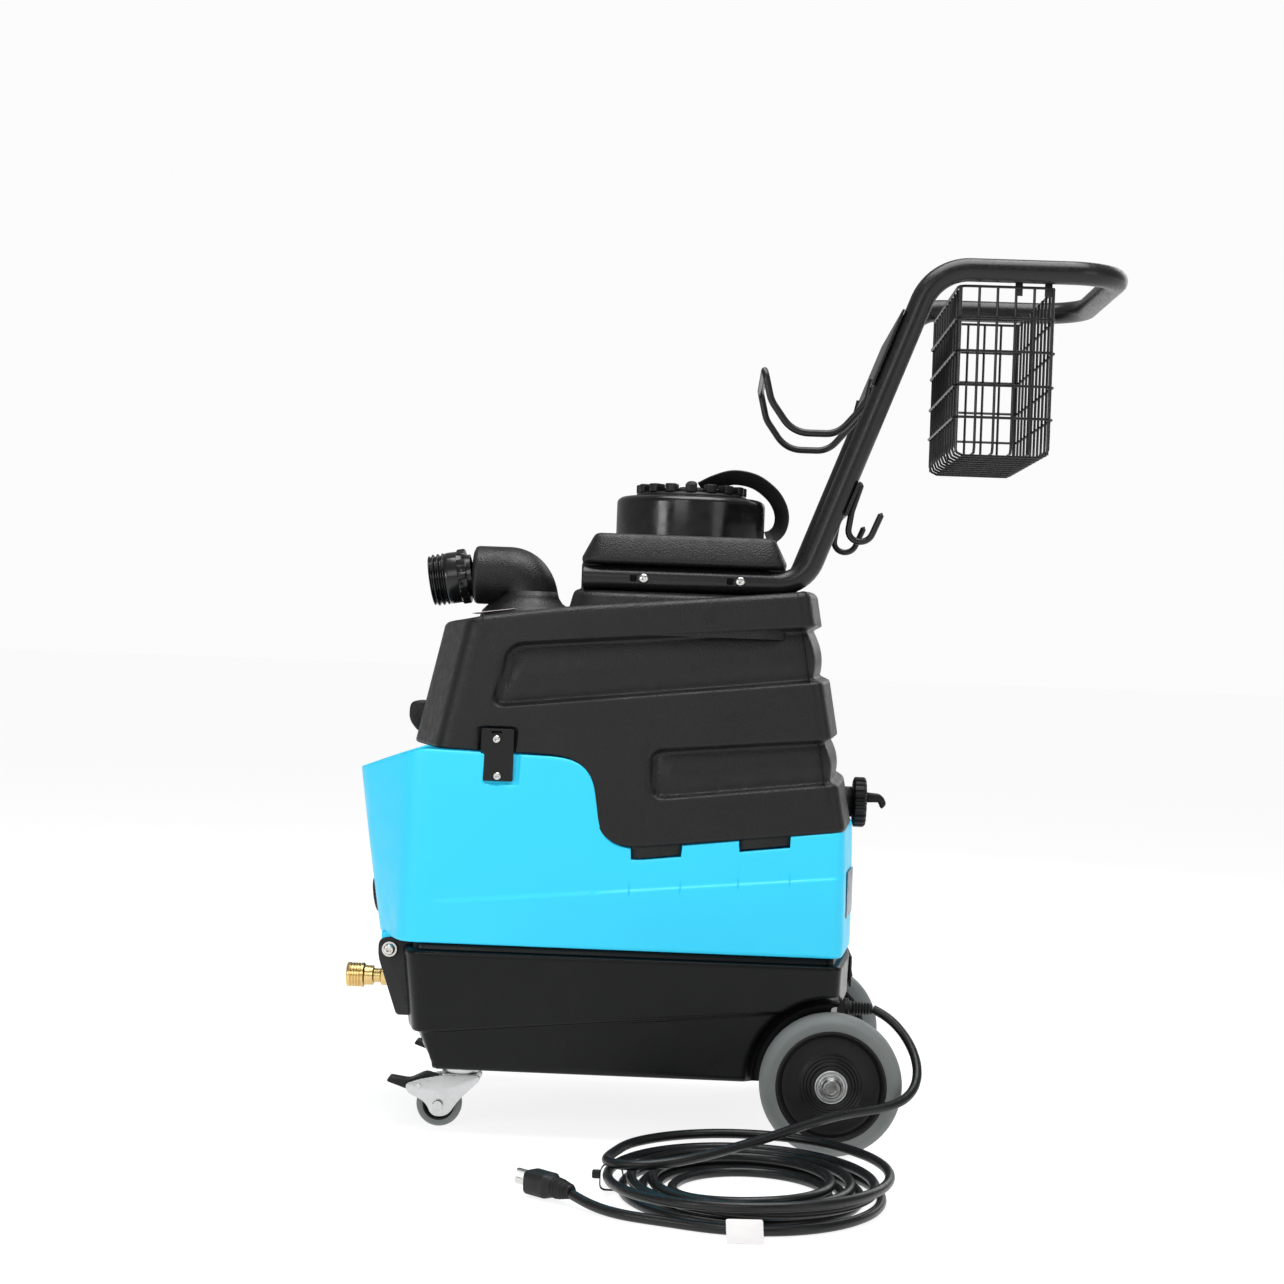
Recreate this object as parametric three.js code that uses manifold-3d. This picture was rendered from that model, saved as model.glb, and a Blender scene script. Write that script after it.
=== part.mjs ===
// Portable carpet extractor: black base on wheels, blue solution tank and black recovery tank that
// tip forward together on two front bolts, tube handle with basket and hooks, and its mains cord.
// Millimetres. +X to the handle end, -Y to the machine's left side, +Z up, origin on the floor
// under the middle of the machine.
import * as THREE from 'three';
import { mergeVertices } from 'three/addons/utils/BufferGeometryUtils.js';
import Module from 'manifold-3d';

const wasm = await Module();
wasm.setup();

// ---------------------------------------------------------------- driving dimensions
const GAP = 0.35;                    // between pieces that touch
const SIDES = [['left', -1], ['right', 1]];

const WHEEL = { x: 125, y: 195, radius: 76.2, width: 38, rim: 59.5, bearing: 17.5, axle: 10 };
const CASTER = {
  x: -277, wheelX: -300, y: 122, radius: 25, width: 20, rim: 17.5, pin: 4, pedalX: -322, pedalZ: 45,
  plate: 3, plateHalfX: 26, plateHalfY: 23,
};
const BASE = { top: 202, lip: 209.5, bottom: 72, half: 197, lowerHalf: 188, wall: 6 };
const ARCH = { radius: 87, innerY: 170 };
const HINGE = { x: -357, z: 196, radius: 13, plateY: 150, plate: 5, bolt: 5 };
const BLUE = { bottom: 210, half: 200 };
const BLACK = { half: 197, pocket: 9, wall: 16, pedestalTop: 658 };
const LID = { x: -48, base: 658.5, ring: 85, neck: 64, hole: 60 };
const HANDLE = { radius: 12.7, y: 157, z: 609, frontX: -160, gripZ: 955.5, rearX: 412.3, lean: 20.7, footX: 77.5 };
const BASKET = { x0: 237, x1: 338, half: 148, bottom: 754, top: 940.5, wire: 3.2 };
const ELBOW = { x: -222, z: 611, radius: 30, bore: 25, mouthX: -295, foot: 571 };
const DRAIN = { x: 141, z: 366, radius: 29 };
const COUPLER = { z: 144.5, tipX: -425, rootX: -350 };
const CORD = { radius: 5, x: 35, y: -400, halfX: 145, halfY: 170, height: 46 };

// ---------------------------------------------------------------- finishes
const finish = (color, roughness, metalness = 0) => new THREE.MeshStandardMaterial({ color, roughness, metalness });
const FINISH = {
  basePlastic: finish(0x17181a, 0.45),
  blue: finish(0x1fa9f0, 0.5),
  black: finish(0x1b1c1d, 0.7),
  gloss: finish(0x0c0c0d, 0.2),
  tyre: finish(0x8f9496, 0.75),
  rubber: finish(0x141414, 0.85),
  cord: finish(0x101112, 0.5),
  zinc: finish(0xc9cccf, 0.35, 0.9),
  bright: finish(0xdadada, 0.2, 1),
  brass: finish(0xc9a95a, 0.3, 1),
  coated: finish(0x151617, 0.4, 0.3),
  motor: finish(0x55585c, 0.5, 0.6),
};

// ---------------------------------------------------------------- solids
function toSolid(geometry) {
  const bare = geometry.clone();
  bare.deleteAttribute('normal');
  bare.deleteAttribute('uv');
  const welded = mergeVertices(bare, 1e-3);
  const vertProperties = new Float32Array(welded.attributes.position.array);
  const triVerts = new Uint32Array(welded.index.array);
  return new wasm.Manifold(new wasm.Mesh({ numProp: 3, vertProperties, triVerts }));
}

function toGeometry(solid) {
  const mesh = solid.getMesh();
  const geometry = new THREE.BufferGeometry();
  geometry.setAttribute('position', new THREE.BufferAttribute(mesh.vertProperties, 3));
  geometry.setIndex(new THREE.BufferAttribute(mesh.triVerts, 1));
  geometry.computeVertexNormals();
  return geometry;
}

const join = (first, ...rest) => toGeometry(rest.reduce((sum, piece) => sum.add(toSolid(piece)), toSolid(first)));
const cut = (body, ...tools) => toGeometry(
  tools.reduce((left, tool) => left.subtract(toSolid(tool)), toSolid(body)),
);
const common = (one, other) => toGeometry(toSolid(one).intersect(toSolid(other)));

// The points of a closed outline whose corners [x, y, radius] are rounded off, each with steps chords.
function roundedPoints(corners, steps = 2) {
  return corners.flatMap(([x, y, radius = 0], i) => {
    const corner = new THREE.Vector2(x, y);
    if (!radius) return [corner];
    const ends = [corners.at(i - 1), corners[(i + 1) % corners.length]].map(([ex, ey]) => {
      const toEnd = new THREE.Vector2(ex, ey).sub(corner);
      return corner.clone().add(toEnd.setLength(Math.min(radius, toEnd.length() * 0.49)));
    });
    return new THREE.QuadraticBezierCurve(ends[0], corner, ends[1]).getPoints(steps);
  });
}

// A side outline [x, z, radius] carried across the machine from y0 to y1.
function across(corners, y0, y1, steps = 2) {
  const shape = new THREE.Shape(roundedPoints(corners, steps));
  const geometry = new THREE.ExtrudeGeometry(shape, { depth: y1 - y0, bevelEnabled: false });
  return geometry.rotateX(Math.PI / 2).translate(0, y1, 0);
}

// A plan outline [x, y, radius] carried up from z0 to z1.
function upward(corners, z0, z1, steps = 2) {
  const shape = new THREE.Shape(roundedPoints(corners, steps));
  return new THREE.ExtrudeGeometry(shape, { depth: z1 - z0, bevelEnabled: false }).translate(0, 0, z0);
}

// A body whose plan outlines [z, corners] are skinned from the lowest to the highest.
function loft(levels, steps = 2) {
  const rings = levels.map(([z, corners]) => roundedPoints(corners, steps).map((p) => [p.x, p.y, z]));
  const count = rings[0].length;
  const cap = (ring) => THREE.ShapeUtils.triangulateShape(ring.map(([x, y]) => new THREE.Vector2(x, y)), []);
  const index = [];
  for (let k = 0; k + 1 < rings.length; k += 1) {
    for (let i = 0; i < count; i += 1) {
      const [a, b] = [k * count + i, k * count + ((i + 1) % count)];
      index.push(a, b, b + count, a, b + count, a + count);
    }
  }
  const last = (rings.length - 1) * count;
  cap(rings[0]).forEach(([a, b, c]) => index.push(a, c, b));
  cap(rings.at(-1)).forEach(([a, b, c]) => index.push(last + a, last + b, last + c));
  const geometry = new THREE.BufferGeometry();
  geometry.setAttribute('position', new THREE.Float32BufferAttribute(rings.flat(2), 3));
  geometry.setIndex(index);
  return geometry;
}

const box = (x0, x1, y0, y1, z0, z1) => new THREE.BoxGeometry(x1 - x0, y1 - y0, z1 - z0)
  .translate((x0 + x1) / 2, (y0 + y1) / 2, (z0 + z1) / 2);

// Turned pieces: the profile is [radius, distance along the axis].
function turned(profile, segments = 24) {
  return new THREE.LatheGeometry(profile.map(([r, h]) => new THREE.Vector2(r, h)), segments);
}
const turnedX = (profile, x, y, z, segments) => turned(profile, segments).rotateZ(-Math.PI / 2).translate(x, y, z);
const turnedY = (profile, x, y, z, segments) => turned(profile, segments).translate(x, y, z);
const turnedZ = (profile, x, y, z, segments) => turned(profile, segments).rotateX(Math.PI / 2).translate(x, y, z);
const rod = (radius, h0, h1) => [[0, h0], [radius, h0], [radius, h1], [0, h1]];
const ring = (inner, outer, h0, h1) => [[inner, h0], [outer, h0], [outer, h1], [inner, h1], [inner, h0]];

// A path through given stations, one extrusion step to each.
class StationPath extends THREE.Curve {
  constructor(stations) {
    super();
    this.stations = stations;
  }

  getPoint(t, target = new THREE.Vector3()) {
    const place = t * (this.stations.length - 1);
    const i = Math.min(Math.floor(place), this.stations.length - 2);
    return target.lerpVectors(this.stations[i], this.stations[i + 1], place - i);
  }

  getTangent(t, target = new THREE.Vector3()) {
    const i = Math.round(t * (this.stations.length - 1));
    const before = this.stations[Math.max(i - 1, 0)];
    const after = this.stations[Math.min(i + 1, this.stations.length - 1)];
    return target.subVectors(after, before).normalize();
  }

  getPointAt(u, target) {
    return this.getPoint(u, target);
  }

  getTangentAt(u, target) {
    return this.getTangent(u, target);
  }
}

// Corner points [x, y, z, bend radius], with each bend made of steps chords.
function bentStations(corners, steps = 4) {
  return corners.flatMap(([x, y, z, bend = 0], i) => {
    const corner = new THREE.Vector3(x, y, z);
    if (!bend) return [corner];
    const toward = [corners[i - 1], corners[i + 1]].map((end) => new THREE.Vector3(...end.slice(0, 3)).sub(corner));
    const turn = Math.PI - toward[0].angleTo(toward[1]);
    const ends = toward.map((side) => corner.clone().add(side.setLength(bend * Math.tan(turn / 2))));
    const middle = ends[0].clone().add(ends[1]).sub(corner.clone().multiplyScalar(2)).normalize();
    const centre = corner.clone().addScaledVector(middle, bend / Math.cos(turn / 2));
    const [from, to] = ends.map((end) => end.sub(centre));
    return Array.from({ length: steps + 1 }, (_, k) => {
      const [a, b] = [Math.sin(turn * (1 - k / steps)), Math.sin(turn * (k / steps))];
      return from.clone().multiplyScalar(a).addScaledVector(to, b).divideScalar(Math.sin(turn)).add(centre);
    });
  });
}

function swept(shapePoints, stations) {
  const extrudePath = new StationPath(stations);
  return new THREE.ExtrudeGeometry(new THREE.Shape(shapePoints), { steps: stations.length - 1, extrudePath });
}

const circle = (radius, sides) => Array.from({ length: sides }, (_, k) => {
  const angle = (2 * Math.PI * k) / sides;
  return new THREE.Vector2(radius * Math.cos(angle), radius * Math.sin(angle));
});
const tube = (corners, radius, sides = 8, steps = 4) => swept(circle(radius, sides), bentStations(corners, steps));
const softTube = (points, radius, sides, count) => {
  const curve = new THREE.CatmullRomCurve3(points.map((p) => new THREE.Vector3(...p)), false, 'centripetal');
  return swept(circle(radius, sides), curve.getSpacedPoints(count));
};

const machine = new THREE.Group();

function add(name, geometry, material, parent = machine) {
  const mesh = new THREE.Mesh(geometry, material);
  mesh.name = name;
  parent.add(mesh);
  return mesh;
}

// The plan outline shared by the base and both tanks: flat nose, slanting cheeks, crowned rear.
function planOutline({ noseX, noseHalf, frontX, rearX, half, crown = 18, inset = 0 }) {
  const [nx, fx, rx, h] = [noseX + inset, frontX + inset, rearX - inset, half - inset];
  const near = [[nx, -noseHalf, 22], [fx, -h, 20], [rx, -h, 14], [rx + crown, -60, 50]];
  return [...near, ...near.map(([x, y, r]) => [x, -y, r]).reverse()];
}

// ---------------------------------------------------------------- base
// A caster's square plate, which sits flush in the underside, grown by a margin and started at z0.
function casterPlate(side, margin, z0) {
  const { x, plate, plateHalfX, plateHalfY } = CASTER;
  const y = side * CASTER.y;
  return box(x - plateHalfX - margin, x + plateHalfX + margin, y - plateHalfY - margin, y + plateHalfY + margin,
    z0, BASE.bottom + plate + margin);
}

function basePan() {
  const band = loft([
    [112, planOutline({ noseX: -338, noseHalf: 120, frontX: -326, rearX: 130, half: BASE.half - 3 })],
    [BASE.top, planOutline({ noseX: -346, noseHalf: 120, frontX: -334, rearX: 132, half: BASE.half })],
  ]);
  const bandSide = [[-360, 112], [-300, 114, 30], [26, 146, 60], [170, 158], [170, BASE.top], [-360, BASE.top]];
  const lower = loft([
    [BASE.bottom, planOutline({ noseX: -302, noseHalf: 110, frontX: -290, rearX: 122, half: BASE.lowerHalf - 3 })],
    [92, planOutline({ noseX: -324, noseHalf: 112, frontX: -312, rearX: 124, half: BASE.lowerHalf - 1 })],
    [160, planOutline({ noseX: -332, noseHalf: 115, frontX: -320, rearX: 127, half: BASE.lowerHalf })],
  ]);
  const lipPlan = planOutline({ noseX: -346, noseHalf: 120, frontX: -334, rearX: 132, half: BASE.half, inset: 9 });
  const lip = upward(lipPlan, BASE.top - 10, BASE.lip);
  const innerHalf = ARCH.innerY - 2;
  const hollow = loft([
    [BASE.bottom + BASE.wall,
      planOutline({ noseX: -296, noseHalf: 100, frontX: -284, rearX: 116, half: innerHalf, inset: BASE.wall })],
    [BASE.lip + 5, planOutline({ noseX: -330, noseHalf: 110, frontX: -318, rearX: 124, half: innerHalf, inset: 10 })],
  ]);
  const arches = SIDES.map(([, side]) => {
    const outer = side * 230;
    const inner = side * ARCH.innerY;
    return turnedY(rod(ARCH.radius, Math.min(outer, inner), Math.max(outer, inner)), WHEEL.x, 0, WHEEL.radius, 24);
  });
  const axleHole = turnedY(rod(WHEEL.axle + GAP, -230, 230), WHEEL.x, 0, WHEEL.radius, 20);
  const couplerHole = turnedX(rod(8.5, -380, -300), 0, 0, COUPLER.z, 16);
  const platePockets = SIDES.map(([, side]) => casterPlate(side, GAP, BASE.bottom - 5));
  const shell = join(common(band, across(bandSide, -230, 230)), lower, lip);
  return cut(shell, ...arches, ...platePockets, axleHole, couplerHole, hollow);
}

add('base_pan', basePan(), FINISH.basePlastic);
add('rear_axle', turnedY(rod(WHEEL.axle, -219, 219), WHEEL.x, 0, WHEEL.radius, 20), FINISH.zinc);

function wheelParts(name, side) {
  const { x, radius, width, rim, bearing, axle } = WHEEL;
  const half = width / 2;
  const hub = [[bearing + GAP, -half], [24, -half], [27, -7], [51, -6], [rim - 3, -half + 2], [rim, -half + 2],
    [rim, half - 2], [rim - 3, half - 2], [51, 6], [27, 7], [24, half], [bearing + GAP, half],
    [bearing + GAP, -half]];
  const tyre = [[rim + GAP, -half + 2], [radius - 8, -half], [radius, -half + 9],
    [radius, half - 9], [radius - 8, half], [rim + GAP, half - 2], [rim + GAP, -half + 2]];
  const y = side * WHEEL.y;
  add(`wheel_hub_${name}`, turnedY(hub, x, y, radius, 24), FINISH.rubber);
  add(`wheel_tyre_${name}`, turnedY(tyre, x, y, radius, 24), FINISH.tyre);
  add(`wheel_bearing_${name}`, turnedY(ring(axle + GAP, bearing, -half, half), x, y, radius, 20), FINISH.zinc);
  const cap = [[0, 0], [13, 0], [11.5, 4], [0, 7]];
  const capGeometry = side < 0 ? turned(cap, 16).rotateX(Math.PI) : turned(cap, 16);
  add(`axle_cap_${name}`, capGeometry.translate(x, side * (219 + GAP), radius), FINISH.bright);
}
SIDES.forEach(([name, side]) => wheelParts(name, side));

// ---------------------------------------------------------------- braked casters
function casterParts(name, side) {
  const { x, wheelX, radius, width, rim, pin, pedalX, pedalZ } = CASTER;
  const y = side * CASTER.y;
  const swivelTop = BASE.bottom + 1;
  const plate = join(
    casterPlate(side, 0, BASE.bottom),
    turnedZ([[0, 60], [17, 60], [21, 63], [21, swivelTop], [0, swivelTop]], x, y, 0, 20),
  );
  add(`caster_plate_${name}`, plate, FINISH.zinc);
  const cheek = [[wheelX - 36, 46, 5], [wheelX + 4, 54, 8], [x + 20, 59.5, 2], [x + 22, 54, 6],
    [wheelX + 22, 30, 10], [wheelX + 11, 13, 9], [wheelX - 6, 12, 9], [wheelX - 13, 30, 8], [wheelX - 34, 39, 5]];
  const cheeks = [-1, 1].map((s) => across(cheek, y + s * 14 - 1.5, y + s * 14 + 1.5));
  const crown = box(x - 20, x + 18, y - 14, y + 14, 55.5, 59.5);
  const axle = turnedY(rod(pin, -16, 16), wheelX, y, radius, 12);
  const pivot = turnedY(rod(2.5, -16, 16), pedalX, y, pedalZ, 10);
  add(`caster_fork_${name}`, join(crown, ...cheeks, axle, pivot), FINISH.zinc);
  const half = width / 2;
  add(`caster_hub_${name}`, turnedY(ring(pin + GAP, rim, -half, half), wheelX, y, radius, 20), FINISH.rubber);
  const tread = [[rim + GAP, -half], [radius - 2, -half], [radius, -half + 4], [radius, half - 4],
    [radius - 2, half], [rim + GAP, half], [rim + GAP, -half]];
  add(`caster_tyre_${name}`, turnedY(tread, wheelX, y, radius, 20), FINISH.tyre);
  const lever = [[-358, 48, 2], [-334, 40], [pedalX, pedalZ - 5], [pedalX + 6, pedalZ], [-303, 50.8], [-303, 54.5],
    [-316, 58.5, 4], [-334, 49.5, 4], [-356, 52.5, 2]];
  const pedal = cut(across(lever, y - 11, y + 11), turnedY(rod(2.5 + GAP, -20, 20), pedalX, y, pedalZ, 12),
    turnedY(rod(radius + 0.6, -12, 12), wheelX, y, radius, 20));
  add(`brake_pedal_${name}`, pedal, FINISH.rubber);
}
SIDES.forEach(([name, side]) => casterParts(name, side));

// ---------------------------------------------------------------- inside the base
const floorZ = BASE.bottom + BASE.wall + GAP;
add('vacuum_motor', turnedZ([[0, 0], [72, 0], [72, 34], [60, 40], [42, 44], [42, 92], [30, 100], [0, 100]],
  -10, -60, floorZ, 20), FINISH.motor);
add('water_pump', join(box(-250, -170, 30, 100, floorZ, floorZ + 12),
  turnedX([[0, 0], [32, 0], [32, 70], [24, 76], [24, 112], [0, 112]], -262, 65, floorZ + 40, 24)), FINISH.motor);

// ---------------------------------------------------------------- brass quick coupler
const brassBody = [[0, COUPLER.rootX + 24], [8, COUPLER.rootX + 24], [8, COUPLER.rootX - 28],
  [10, COUPLER.rootX - 30], [10, COUPLER.rootX - 34], [8.2, COUPLER.rootX - 36], [8.2, COUPLER.rootX - 66],
  [5, COUPLER.rootX - 66], [5, COUPLER.rootX - 40], [0, COUPLER.rootX - 40]].reverse();
add('coupler_body', turnedX(brassBody, 0, 0, COUPLER.z, 16), FINISH.brass);
const sleeve = [[8.2 + GAP, COUPLER.tipX], [13, COUPLER.tipX], [14.2, COUPLER.tipX + 2], [14.2, COUPLER.tipX + 5],
  [13.2, COUPLER.tipX + 6], [13.2, COUPLER.tipX + 14], [14.2, COUPLER.tipX + 15], [14.2, COUPLER.tipX + 19],
  [11.5, COUPLER.tipX + 21], [11.5, COUPLER.tipX + 31], [8.2 + GAP, COUPLER.tipX + 31], [8.2 + GAP, COUPLER.tipX]];
add('coupler_sleeve', turnedX(sleeve, 0, 0, COUPLER.z, 16), FINISH.brass);

// ---------------------------------------------------------------- tank hinge
function hingeParts(name, side) {
  const { x, z, radius, plateY, plate, bolt } = HINGE;
  const inner = side * plateY;
  const outer = side * (plateY + plate);
  const [y0, y1] = [Math.min(inner, outer), Math.max(inner, outer)];
  const webSide = [[x - 11, z - 8, 4], [x + 9, 124, 3], [-334 - GAP, 124], [-341 - GAP, z + 5], [x, z + 5]];
  const web = across(webSide, y0, y1);
  const eye = turnedY(rod(radius, y0, y1), x, 0, z, 24);
  const hole = turnedY(rod(bolt + GAP, y0 - 1, y1 + 1), x, 0, z, 16);
  add(`hinge_bracket_${name}`, cut(join(web, eye), hole), FINISH.coated);
  const head = [[0, 0], [8.2, 0], [8.2, 2.5], [6, 5], [0, 5.5]];
  const shank = rod(bolt, -(plate + 12), 1);
  const stud = join(turned(head, 20), turned(shank, 16));
  if (side < 0) stud.rotateX(Math.PI);
  add(`hinge_bolt_${name}`, stud.translate(x, side * (plateY + plate + GAP), z), FINISH.bright);
}
SIDES.forEach(([name, side]) => hingeParts(name, side));

// ---------------------------------------------------------------- switch plate and rockers on the base's rear
const switchX = 151;
const rockerHoles = [-16, 16];
const switchPlate = box(switchX - 0.7, switchX + 1.8, -45, 45, 160, 194);
const rockerSlots = rockerHoles.map((y) => box(switchX - 3, switchX + 4, y - 8, y + 8, 166, 188));
add('switch_plate', cut(switchPlate, ...rockerSlots),
  FINISH.coated);
['pump', 'vacuum'].forEach((use, i) => {
  const y = rockerHoles[i];
  const paddle = across([[switchX + 1, 167], [switchX + 5, 168, 2], [switchX + 3.2, 177], [switchX + 3.5, 187, 2],
    [switchX + 1, 187]], y - 7, y + 7);
  add(`${use}_rocker`, paddle, FINISH.gloss);
});

// ---------------------------------------------------------------- mains cord
const reliefX = 139.7;
const exit = { x: reliefX + 31.9, y: -140, z: 150 };
add('strain_relief', turnedX([[0, GAP], [11, GAP], [11, 5], [8.5, 7], [6.5, 30.5], [0, 30.5]],
  reliefX, exit.y, exit.z, 16), FINISH.rubber);
const leadPoints = [[exit.x, -140, 150], [178, -140.4, 149.4], [187, -143, 145], [201, -152, 132],
  [215, -168, 112], [220, -186, 90], [214, -205, 74], [200, -222, 65], [182, -236, 61], [160, -246, 59.5],
  [134, -262, 57], [104, -286, 53]];
add('cord_lead', softTube(leadPoints, CORD.radius, 8, 22), FINISH.cord);
const coilSection = [[0.44, 0.5], [1, 0.5], [1, 22], [0.93, CORD.height], [0.6, CORD.height], [0.44, 30], [0.44, 0.5]];
const coil = turned(coilSection, 28).rotateX(Math.PI / 2);
coil.scale(CORD.halfX, CORD.halfY, 1).translate(CORD.x, CORD.y, 0);
add('cord_coil', coil, FINISH.cord);
const tailPoints = [[-60, -535, 5.4], [-84, -521, 5.4], [-104, -502, 5.6], [-122, -484, 8], [-132, -472, 11]];
add('cord_tail', softTube(tailPoints, CORD.radius, 8, 6), FINISH.cord);
const plug = turnedX([[0, 0], [6.5, 0], [9, 22], [13, 26], [13, 58], [0, 58]], 0, 0, 0, 16);
const blades = [[-6.4, 0], [6.4, 0]].map(([y, z]) => box(57, 76, y - 0.8, y + 0.8, z - 3.2, z + 3.2));
const earth = turnedX(rod(2.4, 57, 79), 0, 0, 7.5, 10);
const plugPiece = add('plug', join(plug, ...blades, earth).rotateZ(THREE.MathUtils.degToRad(136)), FINISH.rubber);
plugPiece.position.set(-132.6, -471.2, 13.4);

// ---------------------------------------------------------------- blue solution tank
const bluePlan = (z, inset = 0) => {
  const rise = (z - BLUE.bottom) / (394 - BLUE.bottom);
  return planOutline({ noseX: -374 - 28.6 * rise, noseHalf: 120 - inset / 2, frontX: -341 + 8 * rise,
    rearX: 132 - 3 * rise, half: BLUE.half, inset });
};
const saddle = [[-165, 414, 24], [-141, 396, 20], [-130, 334, 20], [-103, 317.5, 24]];
function solutionTank() {
  const body = loft([[BLUE.bottom, bluePlan(BLUE.bottom)], [425, bluePlan(425)]]);
  const side = [[-430, BLUE.bottom], [160, BLUE.bottom], [160, 349], ...saddle.toReversed(), [-329, 418, 8],
    [-430, 378]];
  const insideSide = [[-430, BLUE.bottom + 6], [160, BLUE.bottom + 6], [160, 341], [-100, 310], [-122, 320],
    [-136, 330], [-147, 398, 10], [-165, 407], [-326, 408], [-430, 380]];
  const hollow = common(loft([[200, bluePlan(200, 7)], [425, bluePlan(425, 7)]]), across(insideSide, -230, 230));
  const mouth = loft([
    [370, planOutline({ noseX: -386, noseHalf: 105, frontX: -352, rearX: -345, half: 150, crown: 4 })],
    [440, planOutline({ noseX: -397, noseHalf: 105, frontX: -358, rearX: -345, half: 150, crown: 4 })]]);
  const notches = [[-98, -43], [19, 74]].map(([x0, x1]) => {
    const z = (x) => 317.5 + (x + 103) * 0.124;
    return SIDES.map(([, s]) => across([[x0, z(x0) + 12], [x0, z(x0) - 12], [x1, z(x1) - 12], [x1, z(x1) + 12]],
      s > 0 ? 190 : -210, s > 0 ? 210 : -190));
  }).flat();
  const lugs = SIDES.map(([, s]) => {
    const y = s > 0 ? HINGE.plateY - 11 : -HINGE.plateY + GAP;
    const lug = across([[HINGE.x - 10, BLUE.bottom + 3], [HINGE.x - 10, HINGE.z - 9, 8], [HINGE.x + 10, HINGE.z - 9, 8],
      [HINGE.x + 10, BLUE.bottom + 3]], y, y + 11 - GAP);
    return cut(lug, turnedY(rod(HINGE.bolt + GAP, y - 2, y + 14), HINGE.x, 0, HINGE.z, 16));
  });
  const clipPockets = SIDES.map(([, s]) => box(-262, -225, s > 0 ? 196 : -206, s > 0 ? 206 : -196, 384, 430));
  return cut(join(common(body, across(side, -230, 230)), ...lugs), hollow, mouth, ...notches, ...clipPockets);
}
const tanks = new THREE.Group();
machine.add(tanks);
add('solution_tank', solutionTank(), FINISH.blue, tanks);
const knob = turned([[0, 0], [18, 0], [24, 3], [24, 11], [19, 16], [0, 18]], 20).rotateZ(Math.PI / 2);
const knobPiece = add('front_knob', knob, FINISH.rubber, tanks);
knobPiece.rotation.y = -Math.atan(28.6 / 184);
knobPiece.position.set(-379.3, 0, 241);

// ---------------------------------------------------------------- black recovery tank
const blackPlan = (z, inset = 0) => {
  const rise = (z - 413) / 187;
  return planOutline({ noseX: -350 + 41 * rise, noseHalf: 75, frontX: -310 + 39 * rise, rearX: 122 - 34 * rise,
    half: BLACK.half - 9 * rise, crown: 15, inset });
};
function recoveryTank() {
  const levels = [310, 605];
  const body = loft(levels.map((z) => [z, blackPlan(z)]));
  const side = [[-370, 419.5], [-330, 419, 2], [-165, 415, 24], [-140, 397, 20], [-129, 335, 20], [-103, 319, 24],
    [160, 351.5], [160, 608], [97, 600, 6], [-297, 558, 14], [-370, 540]];
  const shell = common(body, across(side, -230, 230));
  const pocketSides = [
    [[-238, 536, 16], [-256, 462, 16], [300, 525.5], [300, 582.6]],
    [[-83, 427, 14], [-78, 370, 14], [300, 415], [300, 462]],
  ];
  const core = loft([[300, blackPlan(300, BLACK.pocket)], [640, blackPlan(640, BLACK.pocket)]]);
  const pockets = pocketSides.map((corners) => cut(across(corners, -240, 240), core));
  const pedestal = loft([
    [560, [[-178, -172, 20], [70, -172, 20], [70, 172, 20], [-178, 172, 20]]],
    [627, [[-163, -172, 20], [60, -172, 20], [60, 172, 20], [-163, 172, 20]]],
    [BLACK.pedestalTop, [[-146, -158, 24], [40, -158, 24], [40, 158, 24], [-146, 158, 24]]],
  ]);
  const tubeHalf = HANDLE.radius + 0.8;
  const [grooveLow, grooveHigh, grooveY] = [HANDLE.z - tubeHalf, HANDLE.z + tubeHalf, HANDLE.y - 14];
  const grooveSide = [[-220, grooveLow], [160, grooveLow], [160, 700], [64, 636], [46, grooveHigh],
    [-220, grooveHigh]];
  const grooves = SIDES.map(([, s]) => across(grooveSide, s > 0 ? grooveY : -260, s > 0 ? 260 : -grooveY));
  const feet = [[-97, -44], [20, 73]].flatMap(([x0, x1]) => {
    const z = (x) => 317.5 + (x + 103) * 0.124;
    return SIDES.map(([, s]) => across([[x0, z(x0) + 12], [x0, z(x0) - 11], [x1, z(x1) - 11], [x1, z(x1) + 12]],
      s > 0 ? 191 : -196.5, s > 0 ? 196.5 : -191));
  });
  const tab = across([[-362, 463, 5], [-362, 440, 8], [-350, 428, 3], [-330, 428], [-326, 463]], -22, 22);
  const insideSide = [[-340, 440], [-180, 440, 14], [-122, 400, 10], [-112, 342, 10], [108, 362], [95, 585],
    [-280, 545], [-330, 470]];
  const hollow = common(loft([[300, blackPlan(300, BLACK.wall)], [640, blackPlan(640, BLACK.wall)]]),
    across(insideSide, -175, 175));
  const neck = upward([[-118, -118, 20], [22, -118, 20], [22, 118, 20], [-118, 118, 20]], 560, 646);
  const lidHole = turnedZ(rod(LID.hole, -80, 30), LID.x, 0, 650, 32);
  const inletHole = turnedZ(rod(ELBOW.bore, -60, 30), ELBOW.x, 0, 580, 24);
  const drainHole = turnedX(rod(14, -60, 30), DRAIN.x, 0, DRAIN.z, 20);
  const clipPockets = SIDES.map(([, s]) => box(-262, -225, s > 0 ? 191 : -206, s > 0 ? 206 : -191, 400, 443));
  const elbowPad = turnedZ(ring(ELBOW.bore, 37, -26, 0), ELBOW.x, 0, ELBOW.foot, 24);
  const outside = cut(join(cut(shell, ...pockets), pedestal, elbowPad, ...feet, tab), ...grooves);
  const drainNeck = turnedX([[0, 129], [17.5, 129], [17.5, DRAIN.x + 8], [0, DRAIN.x + 8]], 0, 0, DRAIN.z, 24);
  return cut(join(outside, drainNeck), hollow, neck, lidHole, inletHole, drainHole, ...clipPockets);
}
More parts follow.
